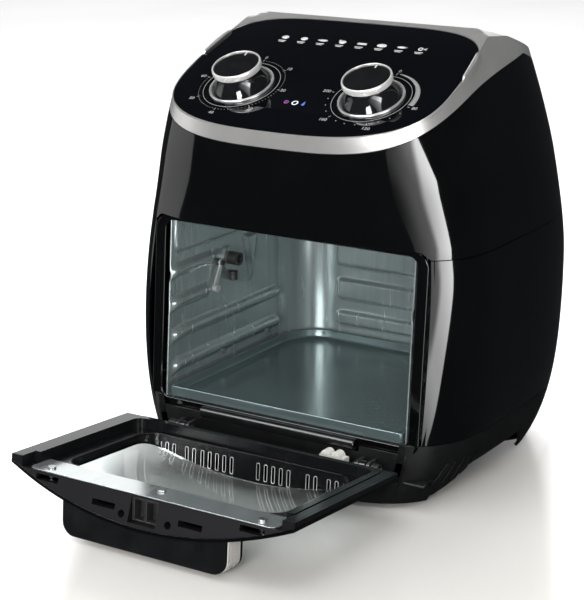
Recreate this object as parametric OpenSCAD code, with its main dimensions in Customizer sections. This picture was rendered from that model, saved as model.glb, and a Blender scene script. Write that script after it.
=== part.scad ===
// Countertop rotisserie oven with a drop-down glass door, two rotary dials and a sloped
// control panel. +Z is up, the door faces -Y, and the origin is the bottom centre of the
// box around the oven with its door open. Inside the modules y = 0 is the lip of the
// cavity opening; place() moves every part to the shared origin.

/* [Body] */
// Largest half width of the body
half_max = 166; // [160:0.5:172]
// Height of the rear crest of the control panel
crest_z = 376; // [372:1:380]
// Height of the seam between the base and the side shell
base_seam_z = 57; // [54:0.5:60]
// Height of the seam between the lower and upper housing
shell_seam_z = 209.6; // [206:0.1:212]
// Wall thickness of the plastic housings
wall = 2.5; // [2:0.1:3]
// Rearmost point of the body behind the opening lip
rear_max = 289.5; // [284:0.5:300]

/* [Opening and cavity] */
// Height of the lip at the bottom of the opening
lip_z = 54.5; // [54:0.5:56]
// Lean of the opening plane from vertical, degrees
lean = 4.35; // [3:0.05:5]
// Width of the opening
opening_w = 246.3; // [240:0.1:250]
// Height of the opening, measured along its plane
opening_h = 156.8; // [150:0.1:158]
// Inner width of the cavity
cavity_w = 238.6; // [232:0.2:242]
// Inner depth of the cavity
cavity_d = 222.5; // [215:0.5:228]
// Height of the cavity ceiling
ceiling_z = 258.5; // [254:0.5:260]
// Radius of the cavity's rear corners
cavity_r = 40; // [30:1:45]

/* [Control panel] */
// Tilt of the control panel from horizontal, degrees
panel_tilt = 24.5; // [22:0.5:26]
// Distance of each dial from the middle
dial_x = 62.7; // [58:0.1:66]
// Depth of the dial centres behind the lip
dial_y = 40.2; // [38:0.1:42]
// Height of the dial centres
dial_z = 329; // [327:0.5:331]
// Radius of the knob's top
knob_r = 21.2; // [19:0.1:22]
// Radius of the dial's cup
cup_r = 26.2; // [25:0.1:27]

/* [Door] */
// Depth of the hinge axis, negative in front of the lip
hinge_y = -12; // [-13:0.5:-11]
// Height of the hinge axis
hinge_z = 35.5; // [35:0.5:36]
// Radius of the hinge pins
pin_r = 2.5; // [2.2:0.1:2.8]
// Radius of the door's curved outer skin
skin_r = 338; // [320:1:360]
// Thickness of the door at its middle
door_t = 36; // [34:0.5:37]
// Width of the handle
handle_w = 155; // [140:1:165]

/* [Hidden] */
$fn = 48;
gap = 0.3;
run_gap = 0.06;
big = 400;
box_front = -197.6;
front_y = -(rear_max + box_front) / 2;
seg = 64;

// ---- outer form of the body: a rounded section whose size changes with height ----
taper_z = 187;
taper = 0.21;
taper_blend = 25;
foot_pinch = 27.5;
mid_y = 93.5;
rear_n = 3.8;
waist_z = 215;
shoulder_z = 265;
function half_w(z) = let(d = z - taper_z)
    half_max - taper * (sqrt(d * d + taper_blend * taper_blend) + d) / 2
    - foot_pinch * pow(max(-d, 0) / taper_z, 4.5) - 0.012 * pow(max(z - shoulder_z, 0), 1.4);
function front_at(z) = -18 + 13 * exp(-pow((z - waist_z) / 68, 2));
function rear_at(z) = rear_max - (z > waist_z ? 50 : 28) * pow((z - waist_z) / waist_z, 2);
function front_n(z) = 3.6 - max(0, z - waist_z) / 164;
function body_pt(t, z, inset) = let(
    s = sin(t),
    n = s < 0 ? front_n(z) : rear_n,
    r = pow(pow(abs(cos(t)), n) + pow(abs(s), n), -1 / n),
    b = s < 0 ? mid_y - front_at(z) : rear_at(z) - mid_y)
    [(half_w(z) - inset) * r * cos(t), mid_y + (b - inset) * r * s, z];

module loft(z0, z1, inset, steps) {
    pts = [for (k = [0:steps]) for (i = [0:seg - 1])
        body_pt(360 * i / seg, z0 + (z1 - z0) * k / steps, inset)];
    sides = [for (k = [0:steps - 1]) for (i = [0:seg - 1]) let(j = (i + 1) % seg)
        each [[k * seg + i, (k + 1) * seg + i, (k + 1) * seg + j],
              [k * seg + i, (k + 1) * seg + j, k * seg + j]]];
    low = [[for (i = [0:seg - 1]) i]];
    high = [[for (i = [seg - 1:-1:0]) steps * seg + i]];
    polyhedron(points = pts, faces = concat(low, sides, high));
}
module shell(z0, z1, steps) {
    difference() {
        loft(z0, z1, 0, steps);
        loft(z0 - 1, z1 + 1, wall, steps);
    }
}
// a region drawn in the YZ plane and extruded across the whole width
module across(w) { rotate([90, 0, 90]) linear_extrude(w, center = true) children(); }
// a smooth moulded shell kept as fine facets
module blended() { resize([0, 0, 0]) children(); }

// ---- roof: the panel plane rises to the crest and falls again behind it ----
rear_slope = 0.30;
crest_y = dial_y + (crest_z - dial_z) / tan(panel_tilt);
function roof_z(y, drop) = (y < crest_y ? dial_z + (y - dial_y) * tan(panel_tilt)
    : crest_z - (y - crest_y) * rear_slope) - drop;
function cap_low(y) = min(291.4 + 68 * (1 - exp(-(y + 13) / 105)), roof_z(y, 9));
module below_roof(drop) {
    difference() {
        across(big) polygon([[-60, 0], [-60, roof_z(-60, drop)], [crest_y, roof_z(crest_y, drop)],
            [320, roof_z(320, drop)], [320, 0]]);
        // the crest falls away towards each side as a shallow facet
        both_sides() translate([facet_x, crest_y, crest_z - drop]) rotate([facet_pitch, facet_roll, 0])
            translate([-big, -big, 0]) cube([2 * big, 2 * big, 60]);
    }
}
facet_x = 104;
facet_roll = 20;
facet_pitch = -5.5;
module below_cap_edge(drop) {
    across(big) polygon(concat([[-60, 0], [-60, cap_low(-30) - drop]],
        [for (y = [-30:15:315]) [y, cap_low(y) - drop]], [[320, 0]]));
}

// ---- frames of reference ----
module place() { translate([0, front_y, 0]) children(); }
module on_panel() { translate([0, dial_y, dial_z]) rotate([panel_tilt, 0, 0]) children(); }
module on_jamb() { translate([0, 0, lip_z]) rotate([-lean, 0, 0]) children(); }
module door_open() {
    translate([0, hinge_y, hinge_z]) rotate([90, 0, 0]) translate([0, -hinge_y, -hinge_z]) children();
}
module both_sides() { children(); mirror([1, 0, 0]) children(); }

// ---- outlines ----
function corner(cx, cy, r, a0) = [for (k = [0:5]) [cx + r * cos(a0 + 18 * k), cy + r * sin(a0 + 18 * k)]];
function round_rect(x0, x1, y0, y1, r) = concat(corner(x1 - r, y1 - r, r, 0), corner(x0 + r, y1 - r, r, 90),
    corner(x0 + r, y0 + r, r, 180), corner(x1 - r, y0 + r, r, 270));
// upright in the plane of the opening: the drawing's y becomes the height
module upright(t) { rotate([90, 0, 0]) linear_extrude(t) children(); }
door_v0 = -7;
door_v1 = 158;
door_half = 133;
door_bulge = 4.5;
function barrel(p) = let(u = (p[1] - 78) / 86) [p[0] + sign(p[0]) * door_bulge * (1 - u * u), p[1]];
module barrel_outline(grow, v0, v1, r) {
    polygon([for (p = round_rect(-door_half - grow, door_half + grow, v0, v1, r)) barrel(p)]);
}
panel_half = 126.5;
module panel_outline(grow) {
    polygon([for (i = [0:95]) let(t = 360 * i / 96, s = sin(t), n = s < 0 ? 2.8 : 4.4,
        r = pow(pow(abs(cos(t)), n) + pow(abs(s), n), -1 / n))
        [(panel_half + grow) * r * cos(t), 20 + ((s < 0 ? 80 : 88) + grow) * r * s]]);
}

// ---- housings ----
// the recess in front of the opening that the closed door fills
module door_recess() {
    on_jamb() translate([0, 3, 0]) upright(120) barrel_outline(gap, -12, 162.5, 12);
}
module upper_housing() {
    color("#0b0b0d") blended() difference() {
        shell(shell_seam_z + gap, 366, 9);
        difference() {
            translate([-big / 2, -100, shell_seam_z]) cube([big, 500, 200]);
            below_cap_edge(gap);
        }
        door_recess();
    }
}
rear_win = [-92, 92, 72, 196];
module lower_housing() {
    color("#0b0b0d") blended() difference() {
        shell(base_seam_z + gap, shell_seam_z, 8);
        door_recess();
        translate([0, 400, 0]) upright(250) polygon(round_rect(rear_win[0] - gap, rear_win[1] + gap,
            rear_win[2] - gap, rear_win[3] + gap, 10));
    }
}
module rear_cover() {
    color("#141416") blended() difference() {
        intersection() {
            shell(rear_win[2] - 4, rear_win[3] + 4, 5);
            translate([0, 400, 0]) upright(250) polygon(round_rect(rear_win[0], rear_win[1],
                rear_win[2], rear_win[3], 10));
        }
        for (row = [0:1], i = [-6:6]) translate([i * 12 - 2, 200, 90 + row * 52]) cube([4, 200, 40]);
    }
}
ledge_z = 25;
rib_n = 9;
tunnel_z = 29;
function floor_line(up) = [for (p = [[-30, 7], [45, 7], [62, tunnel_z], [146, tunnel_z], [163, 7], [330, 7]])
    [p[0], p[1] + up]];
module base_tray() {
    color("#17171a") blended() difference() {
        union() {
            difference() {
                shell(4, base_seam_z, 4);
                translate([-140, -100, ledge_z]) cube([280, 97, 60]);
                door_recess();
            }
            intersection() {
                loft(4, 57, 0, 4);
                union() {
                    // floor on two levels: low over the feet, high across the air tunnel between them
                    across(340) polygon(concat(floor_line(0), [for (k = [5:-1:0]) floor_line(wall)[k]]));
                    translate([-139, -30, ledge_z - wall]) cube([278, 30, wall]);
                    translate([-139, -3.5, 8]) cube([278, wall, 35.8]);
                }
            }
        }
        // air tunnel across the base, with a long ramp up from the front corners
        across(400) polygon([[45, 0], each [for (k = [1:4]) floor_line(0)[k]], [163, 0]]);
        both_sides() translate([122, 0, 0]) rotate([90, 0, 90]) linear_extrude(60)
            polygon([[20, 0], [20, 9], [58, tunnel_z], [150, tunnel_z], [174, 9], [174, 0]]);
        // slanted vents at the four lower corners
        for (sx = [-1, 1], yy = [20, 192], i = [0:4])
            translate([sx * 150, yy + i * 9, 29]) rotate([-20, 0, 0]) cube([60, 3, 22], center = true);
        // diagonal vents in the front ledge
        for (i = [0:rib_n - 1])
            translate([-52 + i * 11.5, -11, ledge_z]) rotate([0, 0, -35]) cube([3, 12, 12], center = true);
        // intake slots in the floor
        for (i = [-5:5]) translate([i * 14 - 2.5, 72, tunnel_z - 5]) cube([5, 64, 20]);
        // pockets for the hinge arms
        both_sides() translate([75, -30, 20]) cube([30, 26.4, 20]);
        for (p = foot_xy) translate([p[0], p[1], 0]) cylinder(r = 2.1, h = 20);
        translate([gland_x, 240, gland_z]) rotate([-90, 0, 0]) cylinder(r = 7.1, h = 60);
    }
}
gland_x = -70;
gland_z = 32;
foot_xy = [[-108, 26], [108, 26], [-112, 206], [112, 206]];
module rubber_feet() {
    color("#2a2a2c") for (p = foot_xy) translate([p[0], p[1], 0]) difference() {
        cylinder(r = 11, h = 6.8);
        translate([0, 0, -1]) cylinder(r = 4.5, h = 4);
        cylinder(r = 2.1, h = 20);
    }
}
module base_screws() {
    color("#8d8f92") for (p = foot_xy) translate([p[0], p[1], 0]) {
        translate([0, 0, 3.2]) cylinder(r = 2, h = 9);
        translate([0, 0, 1]) cylinder(r = 3.6, h = 1.9);
        translate([0, 0, 2.8]) cylinder(r = 2, h = 1);
    }
}
module top_cap() {
    color("#b4b3b0") blended() difference() {
        intersection() {
            loft(268, 386, 0, 10);
            below_roof(0);
        }
        below_cap_edge(0);
        intersection() {
            loft(260, 390, wall, 10);
            below_roof(6);
        }
        on_panel() translate([0, 0, -3.2]) linear_extrude(60) panel_outline(gap);
        on_panel() translate([0, 0, -40]) linear_extrude(60) panel_outline(-6);
    }
}

// ---- control panel ----
module at_timer() { on_panel() translate([-dial_x, 0, 0]) children(); }
module at_thermostat() { on_panel() translate([dial_x, 0, 0]) children(); }
led_x = [-8.3, 0, 8.3];
led_v = -17.3;
module control_panel() {
    color("#050507") on_panel() difference() {
        translate([0, 0, -3]) linear_extrude(3) panel_outline(0);
        for (sx = [-1, 1]) translate([sx * dial_x, 0, -10]) cylinder(r = cup_r + 1.5, h = 20);
    }
}
module indicator_lenses() {
    color("#d8d8e4") on_panel() for (x = led_x) translate([x, led_v, -6]) cylinder(r = 2.6, h = 2.8);
}
module indicator_board() {
    color("#1d4a2c") on_panel() translate([0, led_v, 0]) {
        translate([-22, -9, -12]) cube([44, 18, 1.6]);
        for (x = led_x) translate([x, 0, -10.4]) cylinder(r = 1.5, h = 4);
    }
}
module bezel() {
    color("#c8c8c8") difference() {
        union() {
            translate([0, 0, -7]) cylinder(r = cup_r + 1.2, h = 7);
            translate([0, 0, 0.1]) cylinder(r = cup_r + 2, h = 1.4);
        }
        translate([0, 0, -5.5]) cylinder(r = cup_r - 0.4, h = 20);
        translate([0, 0, -20]) cylinder(r = 4, h = 40);
    }
}
shaft_r = 3;
module knob_skirt() {
    color("#0b0b0d") difference() {
        rotate_extrude($fn = 96) polygon(concat([[0, -4.5], [24.2, -4.5], [24.4, -1]],
            [for (k = [1:6]) let(s = k / 6) [24.4 - 6.4 * sin(90 * s), -1 + 15 * s]], [[0, 14]]));
        translate([0, 0, -20]) cylinder(r = shaft_r + 0.02, h = 30);
        difference() {
            translate([0, 0, -6]) cylinder(r = 15, h = 16);
            translate([0, 0, -10]) cylinder(r = 6, h = 40);
        }
    }
}
module knob_ring() {
    color("#c2c1bd") difference() {
        rotate_extrude($fn = 96) polygon([[17, 14.2], [knob_r - 1, 14.2], [knob_r, 15.2], [knob_r, 19.4],
            [knob_r - 0.9, 20.3], [knob_r - 1.6, 20.3], [17, 20.3]]);
        translate([0, 0, 18.4]) cylinder(r = knob_r - 1.6, h = 5);
    }
}
module knob_cap() {
    color("#0c0c10") difference() {
        union() {
            translate([0, 0, 18.5]) cylinder(r = knob_r - 1.8, h = 1.6);
            translate([0, 0, 14.2]) cylinder(r = 16.8, h = 4.4);
        }
        translate([-0.5, knob_r - 7, 19.6]) cube([1, 5, 2]);
    }
}
module dial_shaft() {
    color("#a9a9ac") translate([0, 0, -22]) cylinder(r = shaft_r, h = 31);
}
module timer_bezel() { at_timer() bezel(); }
module timer_knob() { at_timer() knob_skirt(); }
module timer_knob_ring() { at_timer() knob_ring(); }
module timer_knob_cap() { at_timer() knob_cap(); }
module timer_shaft() { at_timer() dial_shaft(); }
module timer_unit() {
    color("#b9a36a") at_timer() difference() {
        union() {
            translate([-21, -18, -34]) cube([42, 36, 24]);
            translate([0, 0, -10]) cylinder(r = 7, h = 2.4);
            translate([-28, -5, -12]) cube([56, 10, 1.2]);
        }
        translate([0, 0, -23]) cylinder(r = shaft_r + run_gap, h = 40);
    }
}
module thermostat_bezel() { at_thermostat() bezel(); }
module thermostat_knob() { at_thermostat() knob_skirt(); }
module thermostat_knob_ring() { at_thermostat() knob_ring(); }
module thermostat_knob_cap() { at_thermostat() knob_cap(); }
module thermostat_shaft() { at_thermostat() dial_shaft(); }
module thermostat_unit() {
    color("#d9d4c8") at_thermostat() difference() {
        union() {
            translate([0, 0, -30]) cylinder(r = 17, h = 20);
            translate([0, 0, -10]) cylinder(r = 7, h = 2.4);
            translate([-26, -4, -12]) cube([52, 8, 1.2]);
        }
        translate([0, 0, -23]) cylinder(r = shaft_r + run_gap, h = 40);
    }
}
module thermostat_probe() {
    color("#b87a4a") translate([92, 60, 226]) {
        rotate([-90, 0, 0]) cylinder(r = 2.2, h = 90);
        translate([0, 3, 0]) cylinder(r = 1.2, h = 52);
    }
}

// ---- opening frame and cavity ----
nose_half = 77;
module jamb_frame() {
    color("#101012") union() {
        on_jamb() difference() {
            translate([0, 2.5, 0]) upright(2.5) barrel_outline(-1.2, -8, 161.5, 12);
            translate([0, 20, 0]) upright(40) polygon(round_rect(-opening_w / 2, opening_w / 2, 0, opening_h, 8));
        }
        // rounded nose under the lip
        intersection() {
            translate([-nose_half, -3.5, lip_z - 5.2]) rotate([0, 90, 0]) cylinder(r = 5, h = 2 * nose_half);
            translate([-big / 2, -20, 40]) cube([big, 20, 20]);
        }
    }
}
steel = 1;
module liner_plan(grow) {
    w = cavity_w / 2 + grow;
    d = cavity_d + grow;
    r = cavity_r + grow;
    polygon(concat([[w, 4.5]], corner(w - r, d - r, r, 0), corner(-w + r, d - r, r, 90), [[-w, 4.5]]));
}
module liner_ribs(side) {
    for (zc = [0:3]) {
        long = zc < 2;
        translate([side * (cavity_w / 2 - 1.6), 16, 82 + zc * 27]) rotate([-90, 0, 0])
            cylinder(r = 3.2, h = long ? 150 : 46);
    }
}
module back_panel(z0, z1) {
    translate([-cavity_w / 2 + 42, cavity_d - 2.2, z0]) cube([cavity_w - 84, 2.4, z1 - z0]);
}
tray_floor_z = 52.2;
socket_y = 99.4;
socket_z = 158;
module cavity_liner() {
    color("#8f9896") difference() {
        union() {
            difference() {
                translate([0, 0, tray_floor_z - steel]) linear_extrude(ceiling_z - tray_floor_z + steel)
                    liner_plan(steel);
                translate([0, 0, tray_floor_z]) linear_extrude(300) liner_plan(0);
                translate([-cavity_w / 2, -10, tray_floor_z]) cube([cavity_w, 40, 300]);
                // front edges follow the lean of the opening
                on_jamb() translate([-200, -60, -10]) cube([400, 63, 400]);
            }
            for (s = [-1, 1]) liner_ribs(s);
            back_panel(129, 236);
            back_panel(96, 117.5);
            back_panel(71, 85);
        }
        translate([-140, socket_y, socket_z]) rotate([0, 90, 0]) cylinder(r = 7, h = 30);
    }
}
fan_y = 112;
module cavity_ceiling() {
    color("#8f9896") difference() {
        translate([0, 0, ceiling_z + 0.1]) linear_extrude(steel) intersection() {
            liner_plan(4);
            translate([-200, 24]) square([400, 300]);
        }
        translate([0, fan_y, 200]) cylinder(r = 78, h = 100);
        for (x = [-14, 14]) translate([x, fan_y + 96, 200]) cylinder(r = 5, h = 100);
        translate([92, 63, 200]) cylinder(r = 3, h = 100);
    }
}
tray_z = 55;
module drip_tray() {
    color("#3f4a4c") difference() {
        translate([0, 0, tray_z]) linear_extrude(9) tray_plan(0);
        translate([0, 0, tray_z + 1.2]) linear_extrude(20) tray_plan(1.2);
    }
}
module tray_plan(inset) {
    w = 116 - inset;
    y0 = 3.2 + inset;
    d = 220 - inset;
    r = 36 - inset;
    polygon(concat(corner(w - r, d - r, r, 0), corner(-w + r, d - r, r, 90), corner(-w + 3, y0 + 3, 3, 180),
        corner(w - 3, y0 + 3, 3, 270)));
}
module wall_screws() {
    color("#c9c9c9") for (s = [-1, 1], q = [[90, 72], [165, 72]])
        translate([s * (cavity_w / 2 - 0.1), q[0], q[1]]) rotate([0, -s * 90, 0]) cylinder(r = 3, h = 1.6);
}

// ---- heating and air ----
module torus(r, t) { rotate_extrude($fn = 96) translate([r, 0]) circle(r = t, $fn = 24); }
element_z = 247;
module heating_element() {
    color("#4b4b4d") translate([0, fan_y, element_z]) {
        torus(58, 3.2);
        torus(82, 3.2);
        for (x = [-14, 14]) {
            translate([x, 56, 0]) rotate([-90, 0, 0]) cylinder(r = 3.2, h = 40);
            translate([x, 96, -3.2]) cylinder(r = 3.2, h = 38);
        }
    }
}
module element_guard() {
    color("#a7aaab") translate([0, fan_y, 238]) {
        difference() {
            union() {
                for (r = [20, 40, 60, 80, 96]) difference() {
                    cylinder(r = r + 1, h = 2);
                    translate([0, 0, -1]) cylinder(r = r - 1, h = 4);
                }
                for (a = [0:45:135]) rotate([0, 0, a]) translate([-96, -1.5, 0]) cube([192, 3, 2]);
            }
            translate([0, 0, -1]) cylinder(r = 10, h = 4);
        }
        for (a = [45, 135, 225, 315]) rotate([0, 0, a]) translate([95, 0, 0]) cylinder(r = 2, h = 20.4);
    }
}
module fan_shroud() {
    color("#9aa0a0") translate([0, fan_y, ceiling_z + 1.3]) difference() {
        union() {
            cylinder(r = 88, h = 22);
            cylinder(r = 93, h = 1.2);
        }
        translate([0, 0, -1]) cylinder(r = 86.8, h = 21.8);
        cylinder(r = 5, h = 40);
    }
}
fan_blades = 9;
module impeller(r, h, hub) {
    difference() {
        union() {
            cylinder(r = hub, h = h + 1);
            cylinder(r = r, h = 1.2);
            for (i = [0:fan_blades - 1]) rotate([0, 0, 360 * i / fan_blades])
                translate([hub - 2, -0.6, 0.5]) rotate([0, 0, 14]) cube([r - hub, 1.2, h - 0.5]);
        }
        translate([0, 0, -1]) cylinder(r = shaft_r + 0.02, h = h + 3);
    }
}
module convection_fan() { color("#b5b8b8") translate([0, fan_y, 262]) impeller(68, 14, 9); }
module cooling_fan() { color("#202022") translate([0, fan_y, 286]) impeller(52, 10, 9); }
module motor_shaft() { color("#c4c4c6") translate([0, fan_y, 260]) cylinder(r = shaft_r, h = 44); }
module fan_motor() {
    color("#6f7275") translate([0, fan_y, 300]) difference() {
        union() {
            cylinder(r = 26, h = 26);
            translate([-33, -6, 0]) cube([66, 12, 2]);
        }
        translate([0, 0, -1]) cylinder(r = shaft_r + run_gap, h = 8);
    }
}
module motor_bracket() {
    color("#a3a6a7") for (sx = [-1, 1]) translate([0, fan_y, 0]) {
        translate([sx * 78 - 22, -10, 298.4]) cube([44, 20, 1.4]);
        translate([sx * 99 - 1, -10, ceiling_z + 1.3]) cube([2, 20, 38.5]);
    }
}

// ---- rotisserie drive ----
spit_r = 3.6;
module along_x(x) { translate([x, socket_y, socket_z]) rotate([0, 90, 0]) children(); }
module rotisserie_motor() {
    color("#6a6d70") difference() {
        union() {
            along_x(-146) cylinder(r = 24, h = 20);
            along_x(-126) cylinder(r = 8, h = 2);
            translate([-127.5, socket_y - 34, socket_z - 6]) cube([1.5, 68, 12]);
        }
        along_x(-138) cylinder(r = 4 + run_gap, h = 20);
    }
}
module socket_boss() {
    color("#8a8f8e") difference() {
        along_x(-119.2) cylinder(r = 10.8, h = 3.2);
        along_x(-125) cylinder(r = 6.2, h = 20);
    }
}
socket_x0 = -137;
socket_x1 = -106;
socket_depth = 12;
module drive_socket() {
    color("#3a3c3e") difference() {
        union() {
            along_x(socket_x0) cylinder(r = 4, h = 15);
            along_x(socket_x0 + 15) cylinder(r = 5.9, h = socket_x1 - socket_x0 - 15);
        }
        along_x(socket_x1 - socket_depth) cylinder(r = spit_r, h = 20);
    }
}
lever_y = 84;
lever_z = 157;
module release_lever() {
    color("#c9cacb") translate([-cavity_w / 2 + 3.2, lever_y, lever_z]) rotate([0, 90, 0]) difference() {
        union() {
            cylinder(r = 3.6, h = 1.6);
            rotate([0, 0, -28]) translate([0, -2.2, 0]) cube([24, 4.4, 1.6]);
            rotate([0, 0, -28]) translate([24, 0, 0]) cylinder(r = 3.4, h = 5);
        }
        translate([0, 0, -1]) cylinder(r = 1.5 + run_gap, h = 12);
    }
}
module lever_spring() {
    color("#303234") {
        translate([-cavity_w / 2 + 0.1, lever_y, lever_z]) rotate([0, 90, 0]) cylinder(r = 1.5, h = 6);
        translate([-cavity_w / 2 + 0.1, lever_y, lever_z]) rotate([0, 90, 0]) cylinder(r = 3.2, h = 2.8);
        translate([-cavity_w / 2 + 5, lever_y, lever_z]) rotate([0, 90, 0]) cylinder(r = 2.6, h = 1);
        for (k = [0:4]) translate([-cavity_w / 2 + 4.4, 102, 138 + k * 1.6]) torus(3.2, 0.9);
        translate([-cavity_w / 2 + 0.1, 101, 137]) cube([2.2, 2, 8]);
    }
}
module spit_bearing() {
    color("#b9bcbc") difference() {
        union() {
            translate([cavity_w / 2 - 9, socket_y - 9, socket_z - 12]) cube([8.8, 18, 18]);
            translate([cavity_w / 2 - 1.4, socket_y - 16, socket_z - 14]) cube([1.3, 32, 4]);
        }
        translate([cavity_w / 2 - 20, socket_y, socket_z]) rotate([0, 90, 0]) cylinder(r = 4.2, h = 16);
        translate([cavity_w / 2 - 20, socket_y - 4.2, socket_z]) cube([16, 8.4, 20]);
    }
}

// ---- hinge hardware on the housing ----
arm_x = 90;
arm_t = 6;
module on_hinge(x) { translate([x, hinge_y, hinge_z]) rotate([0, 90, 0]) children(); }
module hinge_brackets() {
    color("#242427") both_sides() difference() {
        union() for (x = [arm_x - arm_t / 2 - 3.8, arm_x + arm_t / 2 + 0.8]) {
            on_hinge(x) cylinder(r = 5, h = 3);
            translate([x, hinge_y, hinge_z - 5]) cube([3, 8.2, 10]);
        }
        on_hinge(arm_x - 20) cylinder(r = pin_r + 0.02, h = 40);
    }
}
module hinge_pins() {
    color("#b7b8ba") both_sides() on_hinge(arm_x - 10) cylinder(r = pin_r, h = 20);
}
module hinge_spring() {
    color("#77797c") both_sides() for (k = [0:4])
        translate([arm_x + 8.6 + k * 1.3, hinge_y, hinge_z]) rotate([0, 90, 0]) torus(4, 0.75);
}
module nylon_bumper() {
    color("#efece6") {
        translate([50, -17, ledge_z + 0.1]) cube([24, 8, 15]);
        for (x = [56, 66]) translate([x, -17, ledge_z + 15]) rotate([-90, 0, 0]) cylinder(r = 4.6, h = 8);
    }
}
module door_switch() {
    color("#26262a") difference() {
        translate([12, 8, 224]) cube([20, 8, 12]);
        translate([22, 12, 220]) cylinder(r = 1.8 + run_gap, h = 8);
    }
}
module switch_plunger() { color("#e9e6df") translate([22, 12, 217.4]) cylinder(r = 1.8, h = 8); }
module door_catch() {
    color("#b7b8ba") {
        translate([-13, 5, 221]) cube([22, 12, 1.2]);
        for (x = [-9, 4]) translate([x, 8, 217.4]) cube([1.5, 6, 3.6]);
    }
}
module cord_gland() {
    color("#1a1a1c") translate([gland_x, 252, gland_z]) rotate([-90, 0, 0]) difference() {
        union() {
            translate([0, 0, 3]) cylinder(r = 10, h = 4);
            cylinder(r = 7, h = 22);
        }
        translate([0, 0, -1]) cylinder(r = 3.6, h = 40);
    }
}

// ---- door, drawn closed in the plane of the opening and then swung down ----
plate_d = 10;
side_flange_d = 1.2;
hinge_flange_d = 9;
rim_d = 0.6;
rim_half = 123;
win_half = 104;
win_v0 = 14;
win_v1 = 131;
win_r = 17;
skin_t = 2.5;
// side profile: rounded towards the hinge, slanted at the free end
module door_profile(grow) {
    across(big) polygon(concat(
        [[0, door_v0 - grow], [-10, door_v0 - grow]],
        [for (a = [15:15:90]) [-10 - (26 + grow) * sin(a), door_v0 + 26 - (26 + grow) * cos(a)]],
        [[-45, door_v1 + 9 + grow], [-plate_d, door_v1 - 1 + grow], [0, door_v1 - 1 + grow]]));
}
module skin_cylinder(r) { translate([0, -door_t + skin_r, -40]) cylinder(r = r, h = 260, $fn = 360); }
module door_block(grow, r) {
    intersection() {
        upright(60) barrel_outline(grow, door_v0 - 3, door_v1 + 14, 14);
        skin_cylinder(r);
        door_profile(grow);
    }
}
module window(grow, y0, t) {
    translate([0, y0, 0]) upright(t) polygon(round_rect(-win_half - grow, win_half + grow,
        win_v0 - grow, win_v1 + grow, win_r + grow));
}
module door_frame() {
    color("#151517") door_open() on_jamb() difference() {
        union() {
            difference() {
                door_block(-0.2, skin_r - skin_t - gap);
                // the border is low beside the hinge and almost level with the rim elsewhere
                translate([-200, -hinge_flange_d, -60]) cube([400, 60, 64]);
                translate([-200, -side_flange_d, -60]) cube([400, 60, 300]);
                // above the plate level inside the rim
                translate([0, -plate_d, 0]) mirror([0, 1, 0]) upright(20)
                    polygon(round_rect(-rim_half, rim_half, door_v0 + 8, 190, 10));
                // hollow behind the plate
                difference() {
                    translate([0, -plate_d - 2.5, 0]) upright(60)
                        polygon(round_rect(-118, 118, door_v0 + 12, door_v1 - 6, 14));
                    window(2.5, 0, 80);
                }
            }
            // raised rim on three sides
            difference() {
                intersection() {
                    translate([0, -rim_d, 0]) upright(plate_d + 1)
                        polygon(round_rect(-rim_half, rim_half, 4.6, 150, 10));
                    skin_cylinder(skin_r - skin_t - gap);
                }
                translate([0, 10, 0]) upright(40)
                    polygon(round_rect(-rim_half + 6, rim_half - 6, 10.6, 190, 8));
                translate([-200, -40, 141]) cube([400, 60, 100]);
            }
        }
        window(0, 20, 100);
        latch_recess();
        // room for the nose under the lip when the door is shut
        translate([-nose_half - 3, -11, -20]) cube([2 * nose_half + 6, 14, 24]);
        // air slots in the wall on the hinge side
        for (g = slot_groups) for (i = [0:g[1] - 1])
            translate([g[0] + i * 7.4, -30, win_v0 - 6]) cube([2.4, 14, 12]);
        // slots and holes in the free end
        for (p = [[-96, 12], [-38, 20], [44, 20], [98, 12]])
            translate([p[0] - 11, -p[1] - 4.6, door_v1 - 12]) cube([22, 4.6, 30]);
        for (x = [-20, 24]) translate([x, -26, door_v1 - 12]) cylinder(r = 3, h = 40);
        for (p = plate_screw_xv) translate([p[0], 0, p[1]]) rotate([90, 0, 0]) cylinder(r = 2.1, h = 20);
        arm_slots();
    }
}
slot_groups = [[-92, 3], [-64, 2], [-48, 5], [8, 5], [56, 2], [76, 3]];
plate_screw_xv = [[-100, 147], [2, 139], [100, 147]];
module latch_recess() {
    translate([-13, -31, door_v1 - 11]) cube([26, 19.6, 40]);
}
module arm_slots() {
    both_sides() translate([arm_x - arm_t / 2 - 0.4, -30, -20]) cube([arm_t + 0.8, 19.7, 25]);
}
module door_skin() {
    color("#0a0a0c") door_open() on_jamb() difference() {
        door_block(0, skin_r);
        skin_cylinder(skin_r - skin_t);
        window(0.4, 20, 100);
    }
}
module door_glass() {
    color([0.75, 0.8, 0.8, 0.35]) door_open() on_jamb() difference() {
        intersection() {
            window(-0.2, 20, 100);
            skin_cylinder(skin_r - 0.2);
        }
        skin_cylinder(skin_r - 3.2);
    }
}
module door_plate() {
    color("#9aa6a8") door_open() on_jamb() difference() {
        translate([0, -plate_d + 0.9, 0]) upright(0.8)
            polygon(round_rect(-rim_half + 6.4, rim_half - 6.4, 11, door_v1 - 1.4, 7));
        window(-1, 20, 100);
        for (p = plate_screw_xv) translate([p[0], 20, p[1]]) rotate([90, 0, 0]) cylinder(r = 2.1, h = 60);
    }
}
module door_screws() {
    color("#c5c7c8") door_open() on_jamb() {
        for (p = plate_screw_xv) translate([p[0], -plate_d + 1, p[1]]) rotate([-90, 0, 0]) {
            cylinder(r = 3.6, h = 1.4);
            translate([0, 0, -8]) cylinder(r = 2, h = 8.2);
        }
    }
}
module door_latch() {
    color("#55585b") door_open() on_jamb() difference() {
        translate([-12.5, -30.5, door_v1 - 10.6]) cube([25, 18.8, 10]);
        for (x = [-10, 1.5]) translate([x, -29, door_v1 - 9]) cube([8.5, 15.8, 30]);
    }
}
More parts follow.
